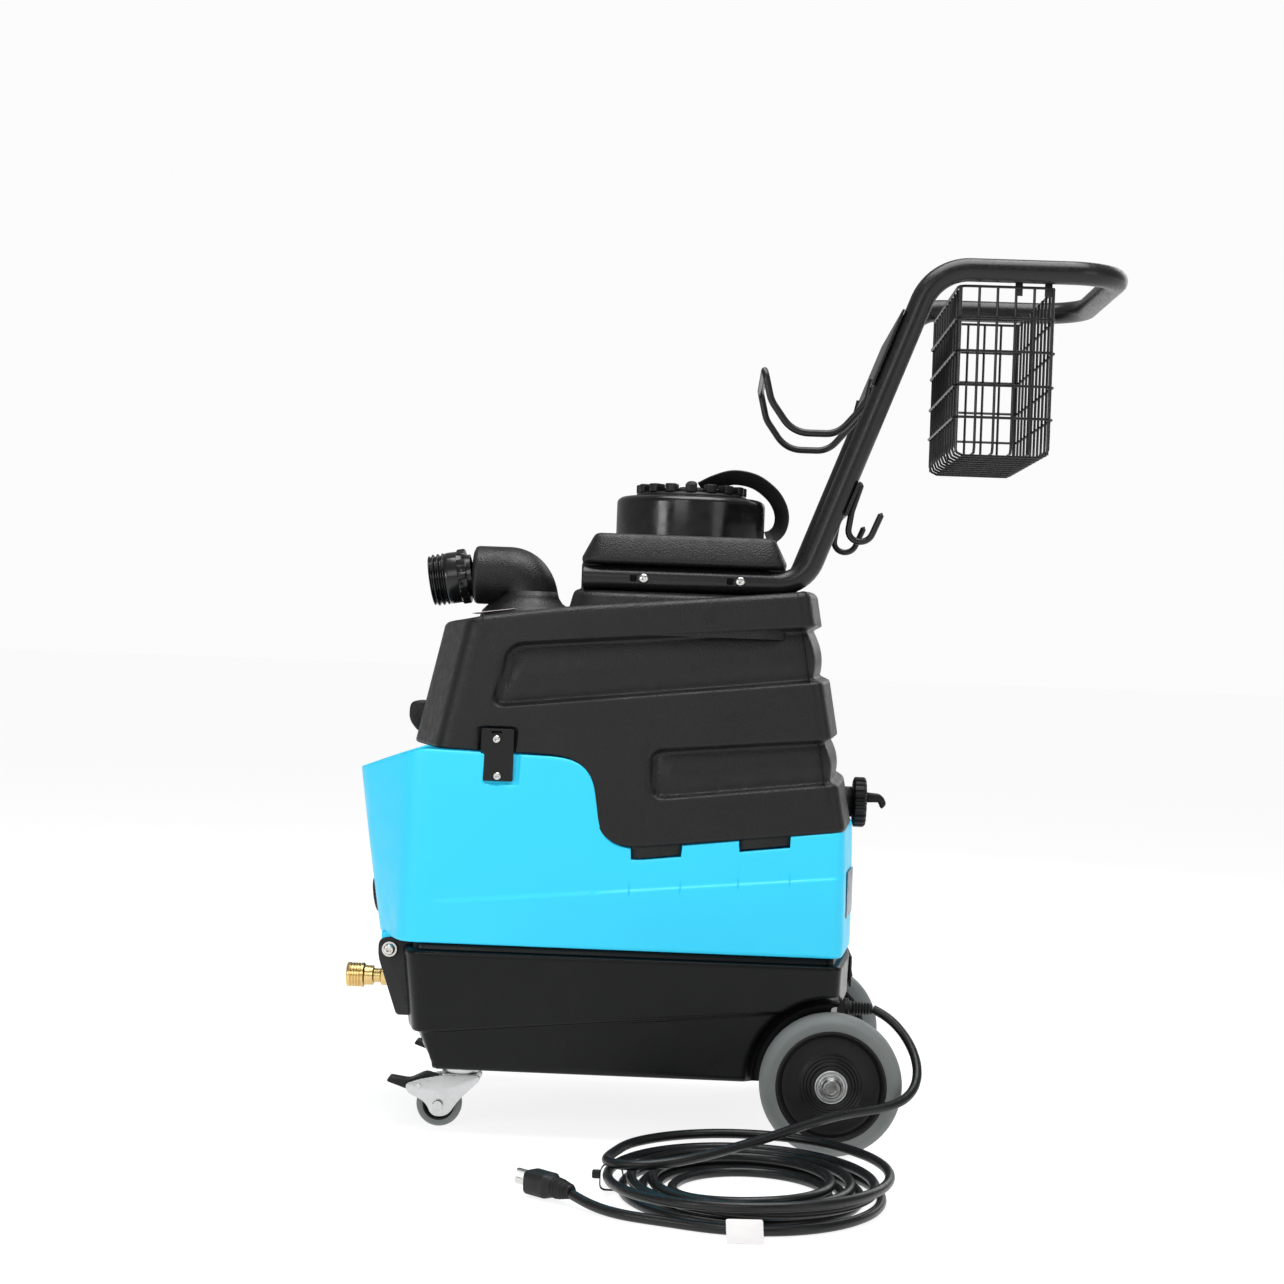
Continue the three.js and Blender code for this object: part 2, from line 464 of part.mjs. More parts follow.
add('recovery_tank', recoveryTank(), FINISH.black, tanks);

// ---------------------------------------------------------------- clip plates that hold the tanks together
function clipParts(name, side) {
  const outline = [[-261, 386, 2], [-226, 386, 2], [-226, 442, 2], [-261, 442, 2]];
  const face = side * 199.5;
  const plate = across(outline, Math.min(face, face - side * 3), Math.max(face, face - side * 3), 2);
  const screws = [[-244.5, 431], [-242.5, 391.5]];
  const holes = screws.map(([x, z]) => turnedY(rod(2.4 + GAP, -210, 210), x, 0, z, 12));
  const slot = box(-250, -239, -210, 210, 437, 439.5);
  add(`clip_plate_${name}`, cut(plate, ...holes, slot), FINISH.coated, tanks);
  screws.forEach(([x, z], i) => {
    const head = [[0, 0], [4.2, 0], [3.6, 1.8], [0, 2.4]];
    const screw = join(turned(head, 16), turned(rod(2.4, -3, 1), 12));
    if (side < 0) screw.rotateX(Math.PI);
    const end = i ? 'lower' : 'upper';
    add(`clip_screw_${name}_${end}`, screw.translate(x, face + side * GAP, z), FINISH.bright, tanks);
  });
}
SIDES.forEach(([name, side]) => clipParts(name, side));

// ---------------------------------------------------------------- lid
const lidRing = [[LID.neck + GAP, 0], [LID.ring - 1, 0], [LID.ring, 2], [LID.ring, 42], [LID.ring - 5, 48],
  [LID.neck + GAP, 48.5], [LID.neck + GAP, 0]];
add('lid_ring', turnedZ(lidRing, LID.x, 0, LID.base, 32), FINISH.gloss, tanks);
function lidCap() {
  const disc = turnedZ([[0, 30], [LID.neck - 4, 30], [LID.neck - 4, 4], [LID.neck, 4], [LID.neck, 51], [LID.neck - 2, 53],
    [0, 53]], 0, 0, 0, 24);
  const teeth = Array.from({ length: 16 }, (_, k) => box(46, LID.neck - 2, -5.5, 5.5, 52, 61)
    .rotateZ((k * Math.PI) / 8));
  const knob = turnedZ([[0, 52], [10, 52], [10, 56], [6, 58], [6, 66], [0, 68]], 0, 0, 0, 12);
  return join(disc, ...teeth, knob).translate(LID.x, 0, LID.base);
}
add('lid_cap', lidCap(), FINISH.rubber, tanks);
function tether() {
  const strip = [[-9, -1.2], [9, -1.2], [9, 1.2], [-9, 1.2]].map(([x, y]) => new THREE.Vector2(x, y));
  const route = [[LID.x + 16, 0, 728], [LID.x + 55, 0, 735, 30], [52, 0, 728, 22], [64, 0, 690, 30], [58, 0, 664, 8],
    [48, 0, 661]];
  const eye = turnedZ(ring(6 + GAP * 2, 17, 726.8, 729.2), LID.x, 0, 0, 20);
  const foot = turnedZ(rod(6, 658.4, 663), 47, 0, 0, 12);
  return join(swept(strip, bentStations(route, 4)), eye, foot);
}
add('lid_tether', tether(), FINISH.rubber, tanks);

// ---------------------------------------------------------------- inlet elbow, float valve and hose connector
const elbowRoute = [[ELBOW.mouthX, 0, ELBOW.z], [ELBOW.x, 0, ELBOW.z, 31], [ELBOW.x, 0, ELBOW.foot + GAP]];
const boreRoute = [[ELBOW.mouthX - 2, 0, ELBOW.z], [ELBOW.x, 0, ELBOW.z, 31], [ELBOW.x, 0, ELBOW.foot - 3]];
const elbowBore = tube(boreRoute, ELBOW.bore, 16, 4);
add('inlet_elbow', cut(tube(elbowRoute, ELBOW.radius, 16, 4), elbowBore), FINISH.black, tanks);
const connector = [[22, 0], [31, 0], [31, 12], [27.5, 13], [27.5, 19], [29, 22], [27.5, 25], [29, 29], [27.5, 32],
  [29, 36], [27.5, 43], [22, 43], [22, 0]];
const connectorPiece = add('hose_connector', turned(connector, 16).rotateZ(Math.PI / 2), FINISH.gloss, tanks);
connectorPiece.rotation.y = THREE.MathUtils.degToRad(-10);
connectorPiece.position.set(ELBOW.mouthX - 6.5, 0, ELBOW.z - 1.5);
const floatCage = join(
  turnedZ(rod(14, 430, 520), -20, 60, 0, 16),
  turnedZ([[0, 517], [22, 517], [22, 523], [14, 530], [14, 560], [0, 560]], -20, 60, 0, 16),
);
add('float_valve', floatCage, FINISH.motor, tanks);

// ---------------------------------------------------------------- drain valve
function ribbedDisc(radius, depth, ribs, x0, x1) {
  const points = Array.from({ length: ribs * 2 }, (_, k) => {
    const angle = (Math.PI * k) / ribs;
    const r = k % 2 ? radius : radius - depth;
    return [0.35, -0.35].map((side) => new THREE.Vector2(r * Math.cos(angle - side * (Math.PI / ribs)),
      r * Math.sin(angle - side * (Math.PI / ribs))));
  }).flat();
  const shape = new THREE.Shape(points);
  const plate = new THREE.ExtrudeGeometry(shape, { depth: x1 - x0, bevelEnabled: false });
  return plate.rotateY(Math.PI / 2).translate(x0, 0, 0);
}
const seatX = DRAIN.x;
const paddle = across([[165, 376, 3], [184, 374, 4], [187, 364, 4], [181, 360, 2], [178, 367, 2], [165, 366]], -12, 12)
  .translate(0, 0, -DRAIN.z);
const drainCap = join(ribbedDisc(DRAIN.radius, 2.5, 16, seatX + 8 + GAP, seatX + 24), paddle);
add('drain_cap', drainCap.translate(0, 0, DRAIN.z), FINISH.rubber, tanks);

// ---------------------------------------------------------------- handle
const lean = THREE.MathUtils.degToRad(HANDLE.lean);
const legTopX = HANDLE.footX + (HANDLE.gripZ - HANDLE.z) * Math.tan(lean);
function handleTube() {
  const near = [[HANDLE.frontX, -HANDLE.y, HANDLE.z], [HANDLE.footX, -HANDLE.y, HANDLE.z, 40],
    [legTopX, -HANDLE.y, HANDLE.gripZ, 55], [HANDLE.rearX, -HANDLE.y, HANDLE.gripZ, 58]];
  const far = near.map(([x, y, z, r = 0]) => [x, -y, z, r]).reverse();
  const loop = tube([...near, ...far], HANDLE.radius, 12, 4);
  const holes = [-94.5, 10].flatMap((x) => SIDES.map(([, s]) => turnedY(rod(3.4 + GAP, s > 0 ? 140 : -180,
    s > 0 ? 180 : -140), x, 0, HANDLE.z, 8)));
  return cut(loop, ...holes);
}
add('handle_tube', handleTube(), FINISH.coated, tanks);
SIDES.forEach(([name, side]) => [['front', -94.5], ['rear', 10]].forEach(([place, x]) => {
  const bolt = join(turned([[0, 0], [7, 0], [6, 3.4], [0, 4.2]], 12), turned(rod(3.4, -24, 1), 8));
  if (side < 0) bolt.rotateX(Math.PI);
  const y = side * (HANDLE.y + HANDLE.radius + GAP);
  add(`handle_bolt_${name}_${place}`, bolt.translate(x, y, HANDLE.z), FINISH.bright, tanks);
}));

// Hooks stand on plates that lie against the legs, in a frame that leans with the legs.
const HOOK_Z = 809.5;
function leaning(geometry) {
  return geometry.rotateY(lean).translate(HANDLE.footX + (HOOK_Z - HANDLE.z) * Math.tan(lean), 0, HOOK_Z);
}
function hoseHook() {
  const plate = leaning(box(-15.6, -13.1, -166, 166, 14, 102));
  const arm = [[147.8, -115, 836], [141, -115, 812, 16], [110, -115, 777, 30], [62, -115, 777, 34], [36, -115, 812, 30],
    [28, -115, 845, 8]];
  const mirrored = arm.map(([x, y, z, r = 0]) => [x, -y, z, r]).reverse();
  return join(plate, tube([...arm, ...mirrored], 4, 6, 3));
}
add('hose_hook', hoseHook(), FINISH.coated, tanks);
function cordHooks() {
  const plate = leaning(box(13.1, 15.6, -166, 166, -128, -88));
  const hooks = SIDES.map(([, s]) => tube([[138, s * 150, 721], [127.8, s * 150, 690, 10], [124, s * 150, 660, 14],
    [150, s * 150, 655, 14], [161, s * 150, 690]], 3.5, 6, 3));
  return join(plate, ...hooks);
}
add('cord_hooks', cordHooks(), FINISH.coated, tanks);

// ---------------------------------------------------------------- wire basket
function basket() {
  const { x0, x1, half, bottom, top, wire } = BASKET;
  const bar = wire / 2;
  const levels = [0, 2, 4].map((k) => top - bar - k * 36);
  const hoops = levels.map((z) => cut(box(x0 - bar, x1 + bar, -half - bar, half + bar, z - bar, z + bar),
    box(x0 + bar, x1 - bar, -half + bar, half - bar, z - wire, z + wire)));
  const bows = [-1, -0.5, 0, 0.5, 1].map((t) => {
    const y = t * half;
    return cut(box(x0 - bar, x1 + bar, y - bar, y + bar, bottom, top),
      box(x0 + bar, x1 - bar, y - wire, y + wire, bottom + wire, top + wire));
  });
  const ends = [1, 2].map((k) => {
    const x = x0 + ((x1 - x0) * k) / 3;
    return cut(box(x - bar, x + bar, -half - bar, half + bar, bottom, top),
      box(x - wire, x + wire, -half + bar, half - bar, bottom + wire, top + wire));
  });
  return join(...hoops, ...bows, ...ends);
}
add('basket', basket(), FINISH.coated, tanks);

export default machine;
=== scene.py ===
import math
import bmesh
import bpy
import numpy as np
from mathutils import Matrix


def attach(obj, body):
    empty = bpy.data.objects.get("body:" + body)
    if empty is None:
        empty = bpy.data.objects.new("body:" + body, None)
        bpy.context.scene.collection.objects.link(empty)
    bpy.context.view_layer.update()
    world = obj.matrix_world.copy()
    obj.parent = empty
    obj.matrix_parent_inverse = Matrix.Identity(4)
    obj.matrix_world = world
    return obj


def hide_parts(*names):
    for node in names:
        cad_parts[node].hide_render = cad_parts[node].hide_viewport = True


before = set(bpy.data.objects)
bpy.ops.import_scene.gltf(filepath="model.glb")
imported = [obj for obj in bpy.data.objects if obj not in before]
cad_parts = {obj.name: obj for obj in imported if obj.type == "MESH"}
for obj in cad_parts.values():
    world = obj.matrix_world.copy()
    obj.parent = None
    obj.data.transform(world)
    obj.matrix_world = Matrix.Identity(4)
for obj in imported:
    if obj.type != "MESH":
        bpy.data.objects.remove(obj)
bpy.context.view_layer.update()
mm = 0.001
sides = (("left", -1), ("right", 1))
print("frame loaded:", len(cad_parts), "nodes")


# Shapes: every surface is a grid of points, rows by columns, whose first and last column meet

def unit(vectors):  # each vector divided by its own length
    return vectors / np.maximum(np.linalg.norm(vectors, axis=-1, keepdims=True), 1e-12)


def smoothStep(value):  # 0 below 0, 1 above 1, and 3v^2 - 2v^3 between
    v = np.clip(value, 0, 1)
    return v * v * (3 - 2 * v)


def roundCorners(corners, steps=5, closed=True):
    # each corner (x, y, radius) becomes a quadratic curve that starts and ends that radius away along its two sides
    points = []
    count = len(corners)
    for i, corner in enumerate(corners):
        here = np.array(corner[:2], float)
        radius = corner[2] if len(corner) > 2 else 0
        if radius == 0 or (not closed and i in (0, count - 1)):
            points.append(here)
            continue
        toBack = np.array(corners[i - 1][:2]) - here
        toNext = np.array(corners[(i + 1) % count][:2]) - here
        start = here + unit(toBack) * min(radius, np.linalg.norm(toBack) * 0.49)
        end = here + unit(toNext) * min(radius, np.linalg.norm(toNext) * 0.49)
        t = np.linspace(0, 1, steps + 1)[:, None]
        points.extend((1 - t) ** 2 * start + 2 * t * (1 - t) * here + t ** 2 * end)
    return np.array(points)


def closeRing(points):  # the first point again at the end
    return np.concatenate([points, points[:1]])


def bentPath(corners, steps=12):
    # straight runs joined by circular arcs: each corner (x, y, z, bend radius) is cut back by radius * tan(turn / 2)
    path = []
    for i, corner in enumerate(corners):
        here = np.array(corner[:3], float)
        bend = corner[3] if len(corner) > 3 else 0
        if bend == 0:
            path.append(here)
            continue
        back = unit(np.array(corners[i - 1][:3], float) - here)
        ahead = unit(np.array(corners[i + 1][:3], float) - here)
        turn = math.pi - math.acos(float(np.clip(np.dot(back, ahead), -1, 1)))
        reach = bend * math.tan(turn / 2)
        centre = here + unit(back + ahead) * bend / math.cos(turn / 2)
        start, end = here + back * reach - centre, here + ahead * reach - centre
        t = np.linspace(0, 1, steps + 1)[:, None]
        path.extend(centre + (start * np.sin(turn * (1 - t)) + end * np.sin(turn * t)) / math.sin(turn))
    return np.array(path)


def throughPoints(points, perSpan=8):
    # Catmull-Rom curve: passes each point with the slope of the line between its neighbours
    p = np.array(points, float)
    p = np.concatenate([[2 * p[0] - p[1]], p, [2 * p[-1] - p[-2]]])
    t = np.linspace(0, 1, perSpan, endpoint=False)[None, :, None]
    a, b, c, d = (p[k:len(p) - 3 + k, None] for k in range(4))
    curve = 0.5 * (2 * b + (c - a) * t + (2 * a - 5 * b + 4 * c - d) * t ** 2 + (3 * b - a - 3 * c + d) * t ** 3)
    return np.concatenate([curve.reshape(-1, p.shape[1]), p[-2:-1]])


def evenly(path, step):  # the same line with points at equal distances along it
    along = np.concatenate([[0], np.cumsum(np.linalg.norm(np.diff(path, axis=0), axis=1))])
    places = np.linspace(0, along[-1], max(int(round(along[-1] / step)) + 1, 2))
    return np.stack([np.interp(places, along, path[:, k]) for k in range(path.shape[1])], -1)


def pathLength(path):
    return float(np.linalg.norm(np.diff(path, axis=0), axis=1).sum())


def swept(path, section, hint=(0.37, 0.61, 0.70), widths=None, capped=True):
    # section (side, up) carried along the path: point = path + side * (tangent x hint) + up * the third direction
    path = np.asarray(path, float)
    tangent = unit(np.gradient(path, axis=0))
    side = unit(np.cross(tangent, np.array(hint, float)))
    up = np.cross(side, tangent)
    section = closeRing(np.asarray(section, float))
    width = np.ones(len(path)) if widths is None else np.asarray(widths, float)
    grid = path[:, None] + width[:, None, None] * (
        side[:, None] * section[None, :, :1] + up[:, None] * section[None, :, 1:])
    if capped:
        first = np.repeat(path[:1, None], grid.shape[1], 1)
        last = np.repeat(path[-1:, None], grid.shape[1], 1)
        grid = np.concatenate([first, grid, last])
    return grid


def circleSection(radius, sidesCount):  # radius * (cos, sin) at equal angles
    angle = np.linspace(0, 2 * math.pi, sidesCount, endpoint=False)
    return radius * np.stack([np.cos(angle), np.sin(angle)], -1)


def tubeAlong(path, radius, sidesCount=16, hint=(0.37, 0.61, 0.70), roundEnd=0.0):
    # a round tube; with roundEnd the radius falls to nothing over that length as a quarter circle
    path = np.asarray(path, float)
    widths = None
    if roundEnd:
        along = np.concatenate([[0], np.cumsum(np.linalg.norm(np.diff(path, axis=0), axis=1))])
        toEnd = np.minimum(along, along[-1] - along) / roundEnd
        widths = np.sqrt(np.clip(1 - (1 - np.clip(toEnd, 0, 1)) ** 2, 0.02, 1))
    return swept(path, circleSection(radius, sidesCount), hint, widths)


def turned(profile, centre, axis="z", sidesCount=64, ripple=None):
    # profile (radius, height) turned about an axis: (r cos a, r sin a, h); ripple(angle, r, h), if given, changes r
    profile = np.asarray(profile, float)
    angle = np.linspace(0, 2 * math.pi, sidesCount + 1)[None]
    r = np.repeat(profile[:, :1], sidesCount + 1, 1)
    h = np.repeat(profile[:, 1:2], sidesCount + 1, 1)
    if ripple:
        r = ripple(angle, r, h)
    a, b = r * np.cos(angle), r * np.sin(angle)
    order = {"z": (a, b, h), "x": (h, a, b), "y": (b, h, a)}[axis]
    return np.stack(order, -1) + np.array(centre, float)


def flatPlate(outline, low, high, axis="y", edge=0.6):
    # an outline carried between two heights along an axis, its edges eased by a quarter circle
    low, high = min(low, high), max(low, high)
    ring = closeRing(np.asarray(outline, float))
    ahead = np.roll(ring[:-1], -1, 0) - np.roll(ring[:-1], 1, 0)
    normal = closeRing(unit(np.stack([ahead[:, 1], -ahead[:, 0]], -1)))
    if np.sum(ring[:-1, 0] * np.roll(ring[:-1, 1], -1) - np.roll(ring[:-1, 0], -1) * ring[:-1, 1]) < 0:
        normal = -normal
    turn = np.linspace(0, math.pi / 2, 4)
    inset = np.concatenate([edge * (1 - np.sin(turn)), edge * (1 - np.sin(turn[::-1]))])
    height = np.concatenate([low + edge * (1 - np.cos(turn)), high - edge * (1 - np.cos(turn[::-1]))])
    flat = ring[None] - normal[None] * inset[:, None, None]
    middle = np.repeat(ring[:-1].mean(0)[None, None], ring.shape[0], 1)
    flat = np.concatenate([middle, flat, middle])
    level = np.concatenate([[height[0]], height, [height[-1]]])[:, None].repeat(ring.shape[0], 1)
    order = {"y": (flat[..., 0], level, flat[..., 1]), "z": (flat[..., 0], flat[..., 1], level),
             "x": (level, flat[..., 0], flat[..., 1])}[axis]
    return np.stack(order, -1)


def turnAbout(grid, centre, axis, degrees):  # Rodrigues' rotation of every point about an axis through centre
    axis = unit(np.array(axis, float))
    angle = math.radians(degrees)
    p = grid - np.array(centre, float)
    return (p * math.cos(angle) + np.cross(axis, p) * math.sin(angle)
            + axis * (p @ axis)[..., None] * (1 - math.cos(angle)) + np.array(centre, float))


def makePiece(name, grids, body, look, replaced=(), sharp=38, weld=1e-5):
    # grids in millimetres become one closed mesh in metres, with coincident points joined. A grid whose faces point
    # inwards has a negative sum of p0 . (p1 x p2) + p0 . (p2 x p3), and its faces are turned round
    verts, faces, offset = [], [], 0
    for grid in grids:
        rows, cols = grid.shape[:2]
        i, j = np.meshgrid(np.arange(rows - 1), np.arange(cols - 1), indexing="ij")
        corner = offset + i * cols + j
        quad = [grid[:-1, :-1], grid[:-1, 1:], grid[1:, 1:], grid[1:, :-1]]
        volume = (quad[0] * (np.cross(quad[1], quad[2]) + np.cross(quad[2], quad[3]))).sum()
        ring = np.stack([corner, corner + 1, corner + cols + 1, corner + cols], -1).reshape(-1, 4)
        faces.append(ring if volume > 0 else ring[:, ::-1])
        verts.append(grid.reshape(-1, 3) * mm)
        offset += rows * cols
    slot, finish = finishes[look]
    mesh = bpy.data.meshes.new(name)
    mesh.from_pydata(np.concatenate(verts).tolist(), [], np.concatenate(faces).tolist())
    work = bmesh.new()
    work.from_mesh(mesh)
    bmesh.ops.remove_doubles(work, verts=work.verts, dist=weld)
    bmesh.ops.dissolve_degenerate(work, edges=work.edges, dist=weld * 0.5)
    bmesh.ops.holes_fill(work, edges=work.edges, sides=0)
    work.to_mesh(mesh)
    work.free()
    mesh.polygons.foreach_set("use_smooth", np.ones(len(mesh.polygons), bool))
    mesh.set_sharp_from_angle(angle=math.radians(sharp))
    piece = bpy.data.objects.new(name, mesh)
    bpy.context.scene.collection.objects.link(piece)
    mesh.materials.append(finish)
    if replaced:
        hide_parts(*replaced)
    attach(piece, body)
    return piece


def easedCopy(node, body, look, width=0.7):
    # a CAD node's own shape with its edges rounded by a bevel
    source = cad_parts[node]
    usual, finish = finishes[look]
    mesh = source.data.copy()
    work = bmesh.new()
    work.from_mesh(mesh)
    bmesh.ops.remove_doubles(work, verts=work.verts, dist=1e-5)
    bmesh.ops.dissolve_limit(work, angle_limit=math.radians(2), verts=work.verts, edges=work.edges)
    work.to_mesh(mesh)
    work.free()
    mesh.materials.clear()
    mesh.materials.append(finish)
    piece = bpy.data.objects.new(node + "_eased", mesh)
    bpy.context.scene.collection.objects.link(piece)
    mesh.polygons.foreach_set("use_smooth", np.ones(len(mesh.polygons), bool))
    mesh.set_sharp_from_angle(angle=math.radians(40))
    bevel = piece.modifiers.new("edges", "BEVEL")
    bevel.width = width * mm
    bevel.segments = 3
    bevel.limit_method = "ANGLE"
    bevel.angle_limit = math.radians(35)
    bevel.harden_normals = True
    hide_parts(node)
    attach(piece, body)
    return piece


# Finishes

def makeFinish(name, color, roughness, metallic=0.0, coat=0.0, patch=0.15, patchScale=9, grainScale=900, grain=0.12,
               grainDepth=0.0003, sheen=0.0, roughSpread=0.08, pebble=False, stretch=(1, 1, 1), specular=0.5):
    # colour drifts with a broad noise and roughness with a middle one; a fine noise or pebbles raise the surface
    material = bpy.data.materials.new(name)
    material.use_nodes = True
    tree = material.node_tree
    nodes, links = tree.nodes, tree.links
    shader = nodes["Principled BSDF"]
    shader.inputs["Metallic"].default_value = metallic
    shader.inputs["Coat Weight"].default_value = coat
    shader.inputs["Coat Roughness"].default_value = 0.12
    shader.inputs["Sheen Weight"].default_value = sheen
    shader.inputs["Specular IOR Level"].default_value = specular
    place = nodes.new("ShaderNodeTexCoord")
    mapping = nodes.new("ShaderNodeMapping")
    mapping.inputs["Scale"].default_value = stretch
    links.new(place.outputs["Object"], mapping.inputs["Vector"])

    def noise(scale, detail):
        node = nodes.new("ShaderNodeTexNoise")
        node.inputs["Scale"].default_value = scale
        node.inputs["Detail"].default_value = detail
        links.new(mapping.outputs["Vector"], node.inputs["Vector"])
        return node

    broad = noise(patchScale, 3)
    tint = nodes.new("ShaderNodeMix")
    tint.data_type = "RGBA"
    tint.inputs["A"].default_value = [c * (1 - patch) for c in color] + [1]
    tint.inputs["B"].default_value = [min(c * (1 + patch), 1) for c in color] + [1]
    links.new(broad.outputs["Fac"], tint.inputs["Factor"])
    links.new(tint.outputs["Result"], shader.inputs["Base Color"])
    middle = noise(patchScale * 7, 4)
    spread = nodes.new("ShaderNodeMapRange")
    spread.inputs["From Min"].default_value = 0.3
    spread.inputs["From Max"].default_value = 0.7
    spread.inputs["To Min"].default_value = max(roughness - roughSpread, 0.03)
    spread.inputs["To Max"].default_value = min(roughness + roughSpread, 1)
    links.new(middle.outputs["Fac"], spread.inputs["Value"])
    links.new(spread.outputs["Result"], shader.inputs["Roughness"])
    if pebble:
        fine = nodes.new("ShaderNodeTexVoronoi")
        fine.feature = "SMOOTH_F1"
        fine.inputs["Scale"].default_value = grainScale
        links.new(mapping.outputs["Vector"], fine.inputs["Vector"])
        height = fine.outputs["Distance"]
    else:
        fine = noise(grainScale, 2)
        height = fine.outputs["Fac"]
    bump = nodes.new("ShaderNodeBump")
    bump.inputs["Strength"].default_value = grain
    bump.inputs["Distance"].default_value = grainDepth
    links.new(height, bump.inputs["Height"])
    links.new(bump.outputs["Normal"], shader.inputs["Normal"])
    return material


finishes = {  # the slot and the material of each look
    "blue": ("blue_plastic", makeFinish("satinBluePolyethylene", (0.03, 0.66, 1.0), 0.4, patch=0.04, patchScale=6,
                                        grainScale=420, grain=0.12, grainDepth=0.0004, specular=0.4)),
    "black": ("black_plastic", makeFinish("grainedBlackPolyethylene", (0.008, 0.008, 0.0077), 0.42, patch=0.4,
                                          patchScale=14, grainScale=640, grain=0.6, grainDepth=0.0006, pebble=True,
                                          roughSpread=0.1, specular=0.32)),
    "base": ("base_plastic", makeFinish("smoothBlackPolyethylene", (0.004, 0.0042, 0.0045), 0.3, patch=0.2,
                                        patchScale=5, grainScale=520, grain=0.04, roughSpread=0.04, specular=0.2)),
    "gloss": ("gloss_plastic", makeFinish("glossBlackMoulding", (0.004, 0.004, 0.0043), 0.22, coat=0.15, patch=0.2,
                                          grainScale=260, grain=0.03, specular=0.4)),
    "moulded": ("moulded_black", makeFinish("mouldedBlackPlastic", (0.006, 0.006, 0.0063), 0.42, patch=0.25,
                                            grainScale=700, grain=0.12, specular=0.3)),
    "tyre": ("tyre_grey", makeFinish("greyTreadRubber", (0.15, 0.165, 0.162), 0.62, patch=0.12, patchScale=25,
                                     grainScale=900, grain=0.2, sheen=0.05)),
    "rubber": ("soft_rubber", makeFinish("softBlackRubber", (0.008, 0.008, 0.0083), 0.52, patch=0.2, grainScale=1100,
                                         grain=0.15, specular=0.35)),
    "cord": ("cord_jacket", makeFinish("cordJacket", (0.006, 0.0063, 0.0067), 0.34, patch=0.3, patchScale=40,
                                       grainScale=1500, grain=0.08, specular=0.35)),
    "zinc": ("zinc", makeFinish("brightZincPlate", (0.6, 0.61, 0.61), 0.34, metallic=1, patch=0.05, patchScale=40,
                                grainScale=900, grain=0.03)),
    "steel": ("bright_steel", makeFinish("machinedSteel", (0.62, 0.61, 0.58), 0.24, metallic=1, patch=0.05,
                                         patchScale=60, grainScale=1500, grain=0.02)),
    "dull": ("bright_steel", makeFinish("dullSteel", (0.24, 0.24, 0.235), 0.34, metallic=1, patch=0.1, patchScale=60,
                                        grainScale=900, grain=0.04)),
    "brass": ("brass", makeFinish("turnedBrass", (0.74, 0.53, 0.22), 0.26, metallic=1, patch=0.12, patchScale=70,
                                  grainScale=900, grain=0.05, stretch=(6, 1, 1))),
    "coated": ("black_steel", makeFinish("blackPowderCoat", (0.006, 0.006, 0.0063), 0.34, coat=0.1, patch=0.2,
                                         patchScale=30, grainScale=520, grain=0.12, specular=0.35)),
    "casting": ("motor_metal", makeFinish("motorCasting", (0.36, 0.37, 0.39), 0.42, metallic=0.8, patch=0.15,
                                          grainScale=600, grain=0.4)),
    "shadow": ("black_steel", makeFinish("slotShadow", (0.002, 0.002, 0.002), 0.8, grainScale=400, specular=0.1)),
    "label": ("black_steel", makeFinish("blankLabelFilm", (0.05, 0.1, 0.14), 0.3, patch=0.1, grainScale=300,
                                        grain=0.05)),
    "paper": ("cord_jacket", makeFinish("blankWhiteTag", (0.78, 0.76, 0.76), 0.5, patch=0.06, patchScale=60,
                                        grainScale=500, grain=0.1)),
    "sticker": ("gloss_plastic", makeFinish("paleSticker", (0.72, 0.62, 0.64), 0.4, patch=0.1, patchScale=120,
                                            grainScale=400, grain=0.05)),
}
print("finishes made:", len(finishes))


# Camera, light and floor

view = {"place": (-0.0182, -2.746, 0.5404), "yaw": 1.68, "roll": 2.1, "lens": 66.9}
camera = bpy.data.objects.new("camera", bpy.data.cameras.new("camera"))
camera.data.lens = view["lens"]
camera.data.sensor_width = 36
camera.data.clip_end = 200
camera.matrix_world = (Matrix.Translation(view["place"]) @ Matrix.Rotation(math.radians(view["yaw"]), 4, "Z")
                       @ Matrix.Rotation(math.pi / 2, 4, "X") @ Matrix.Rotation(math.radians(view["roll"]), 4, "Z"))
bpy.context.scene.collection.objects.link(camera)
bpy.context.scene.camera = camera

studio = {
    "sky": 0.31, "backdrop": 0.97,  # brightness that lights the object, and brightness that the camera sees
    "floorSize": 40, "floor": {"Base Color": (0.34, 0.34, 0.34, 1), "Roughness": 0.9, "Specular IOR Level": 0.1,
                               "Emission Color": (1, 1, 1, 1), "Emission Strength": 0.84},
    "lamps": [  # name, place, aim, size, power
        ("overhead", (0.1, -0.3, 2.5), (0, 0, 0.4), 1.8, 60),
        ("front", (-0.8, -2.9, 1.5), (0, 0, 0.4), 1.1, 11),
        ("side", (2.2, -2.2, 1.2), (0, 0, 0.4), 1.2, 7),
        ("strip", (-1.95, -2.0, 0.95), (0, 0, 0.6), 0.6, 10),
        ("rear", (1.6, 2.2, 1.7), (0, 0, 0.4), 1.8, 20),
    ],
}
world = bpy.data.worlds.new("studio")
bpy.context.scene.world = world
world.use_nodes = True
worldNodes, worldLinks = world.node_tree.nodes, world.node_tree.links
sky, backdrop = worldNodes["Background"], worldNodes.new("ShaderNodeBackground")
for background, brightness in ((sky, studio["sky"]), (backdrop, studio["backdrop"])):
    background.inputs["Color"].default_value = (1, 1, 1, 1)
    background.inputs["Strength"].default_value = brightness
pick, rays = worldNodes.new("ShaderNodeMixShader"), worldNodes.new("ShaderNodeLightPath")
worldLinks.new(rays.outputs["Is Camera Ray"], pick.inputs["Fac"])
worldLinks.new(sky.outputs["Background"], pick.inputs[1])
worldLinks.new(backdrop.outputs["Background"], pick.inputs[2])
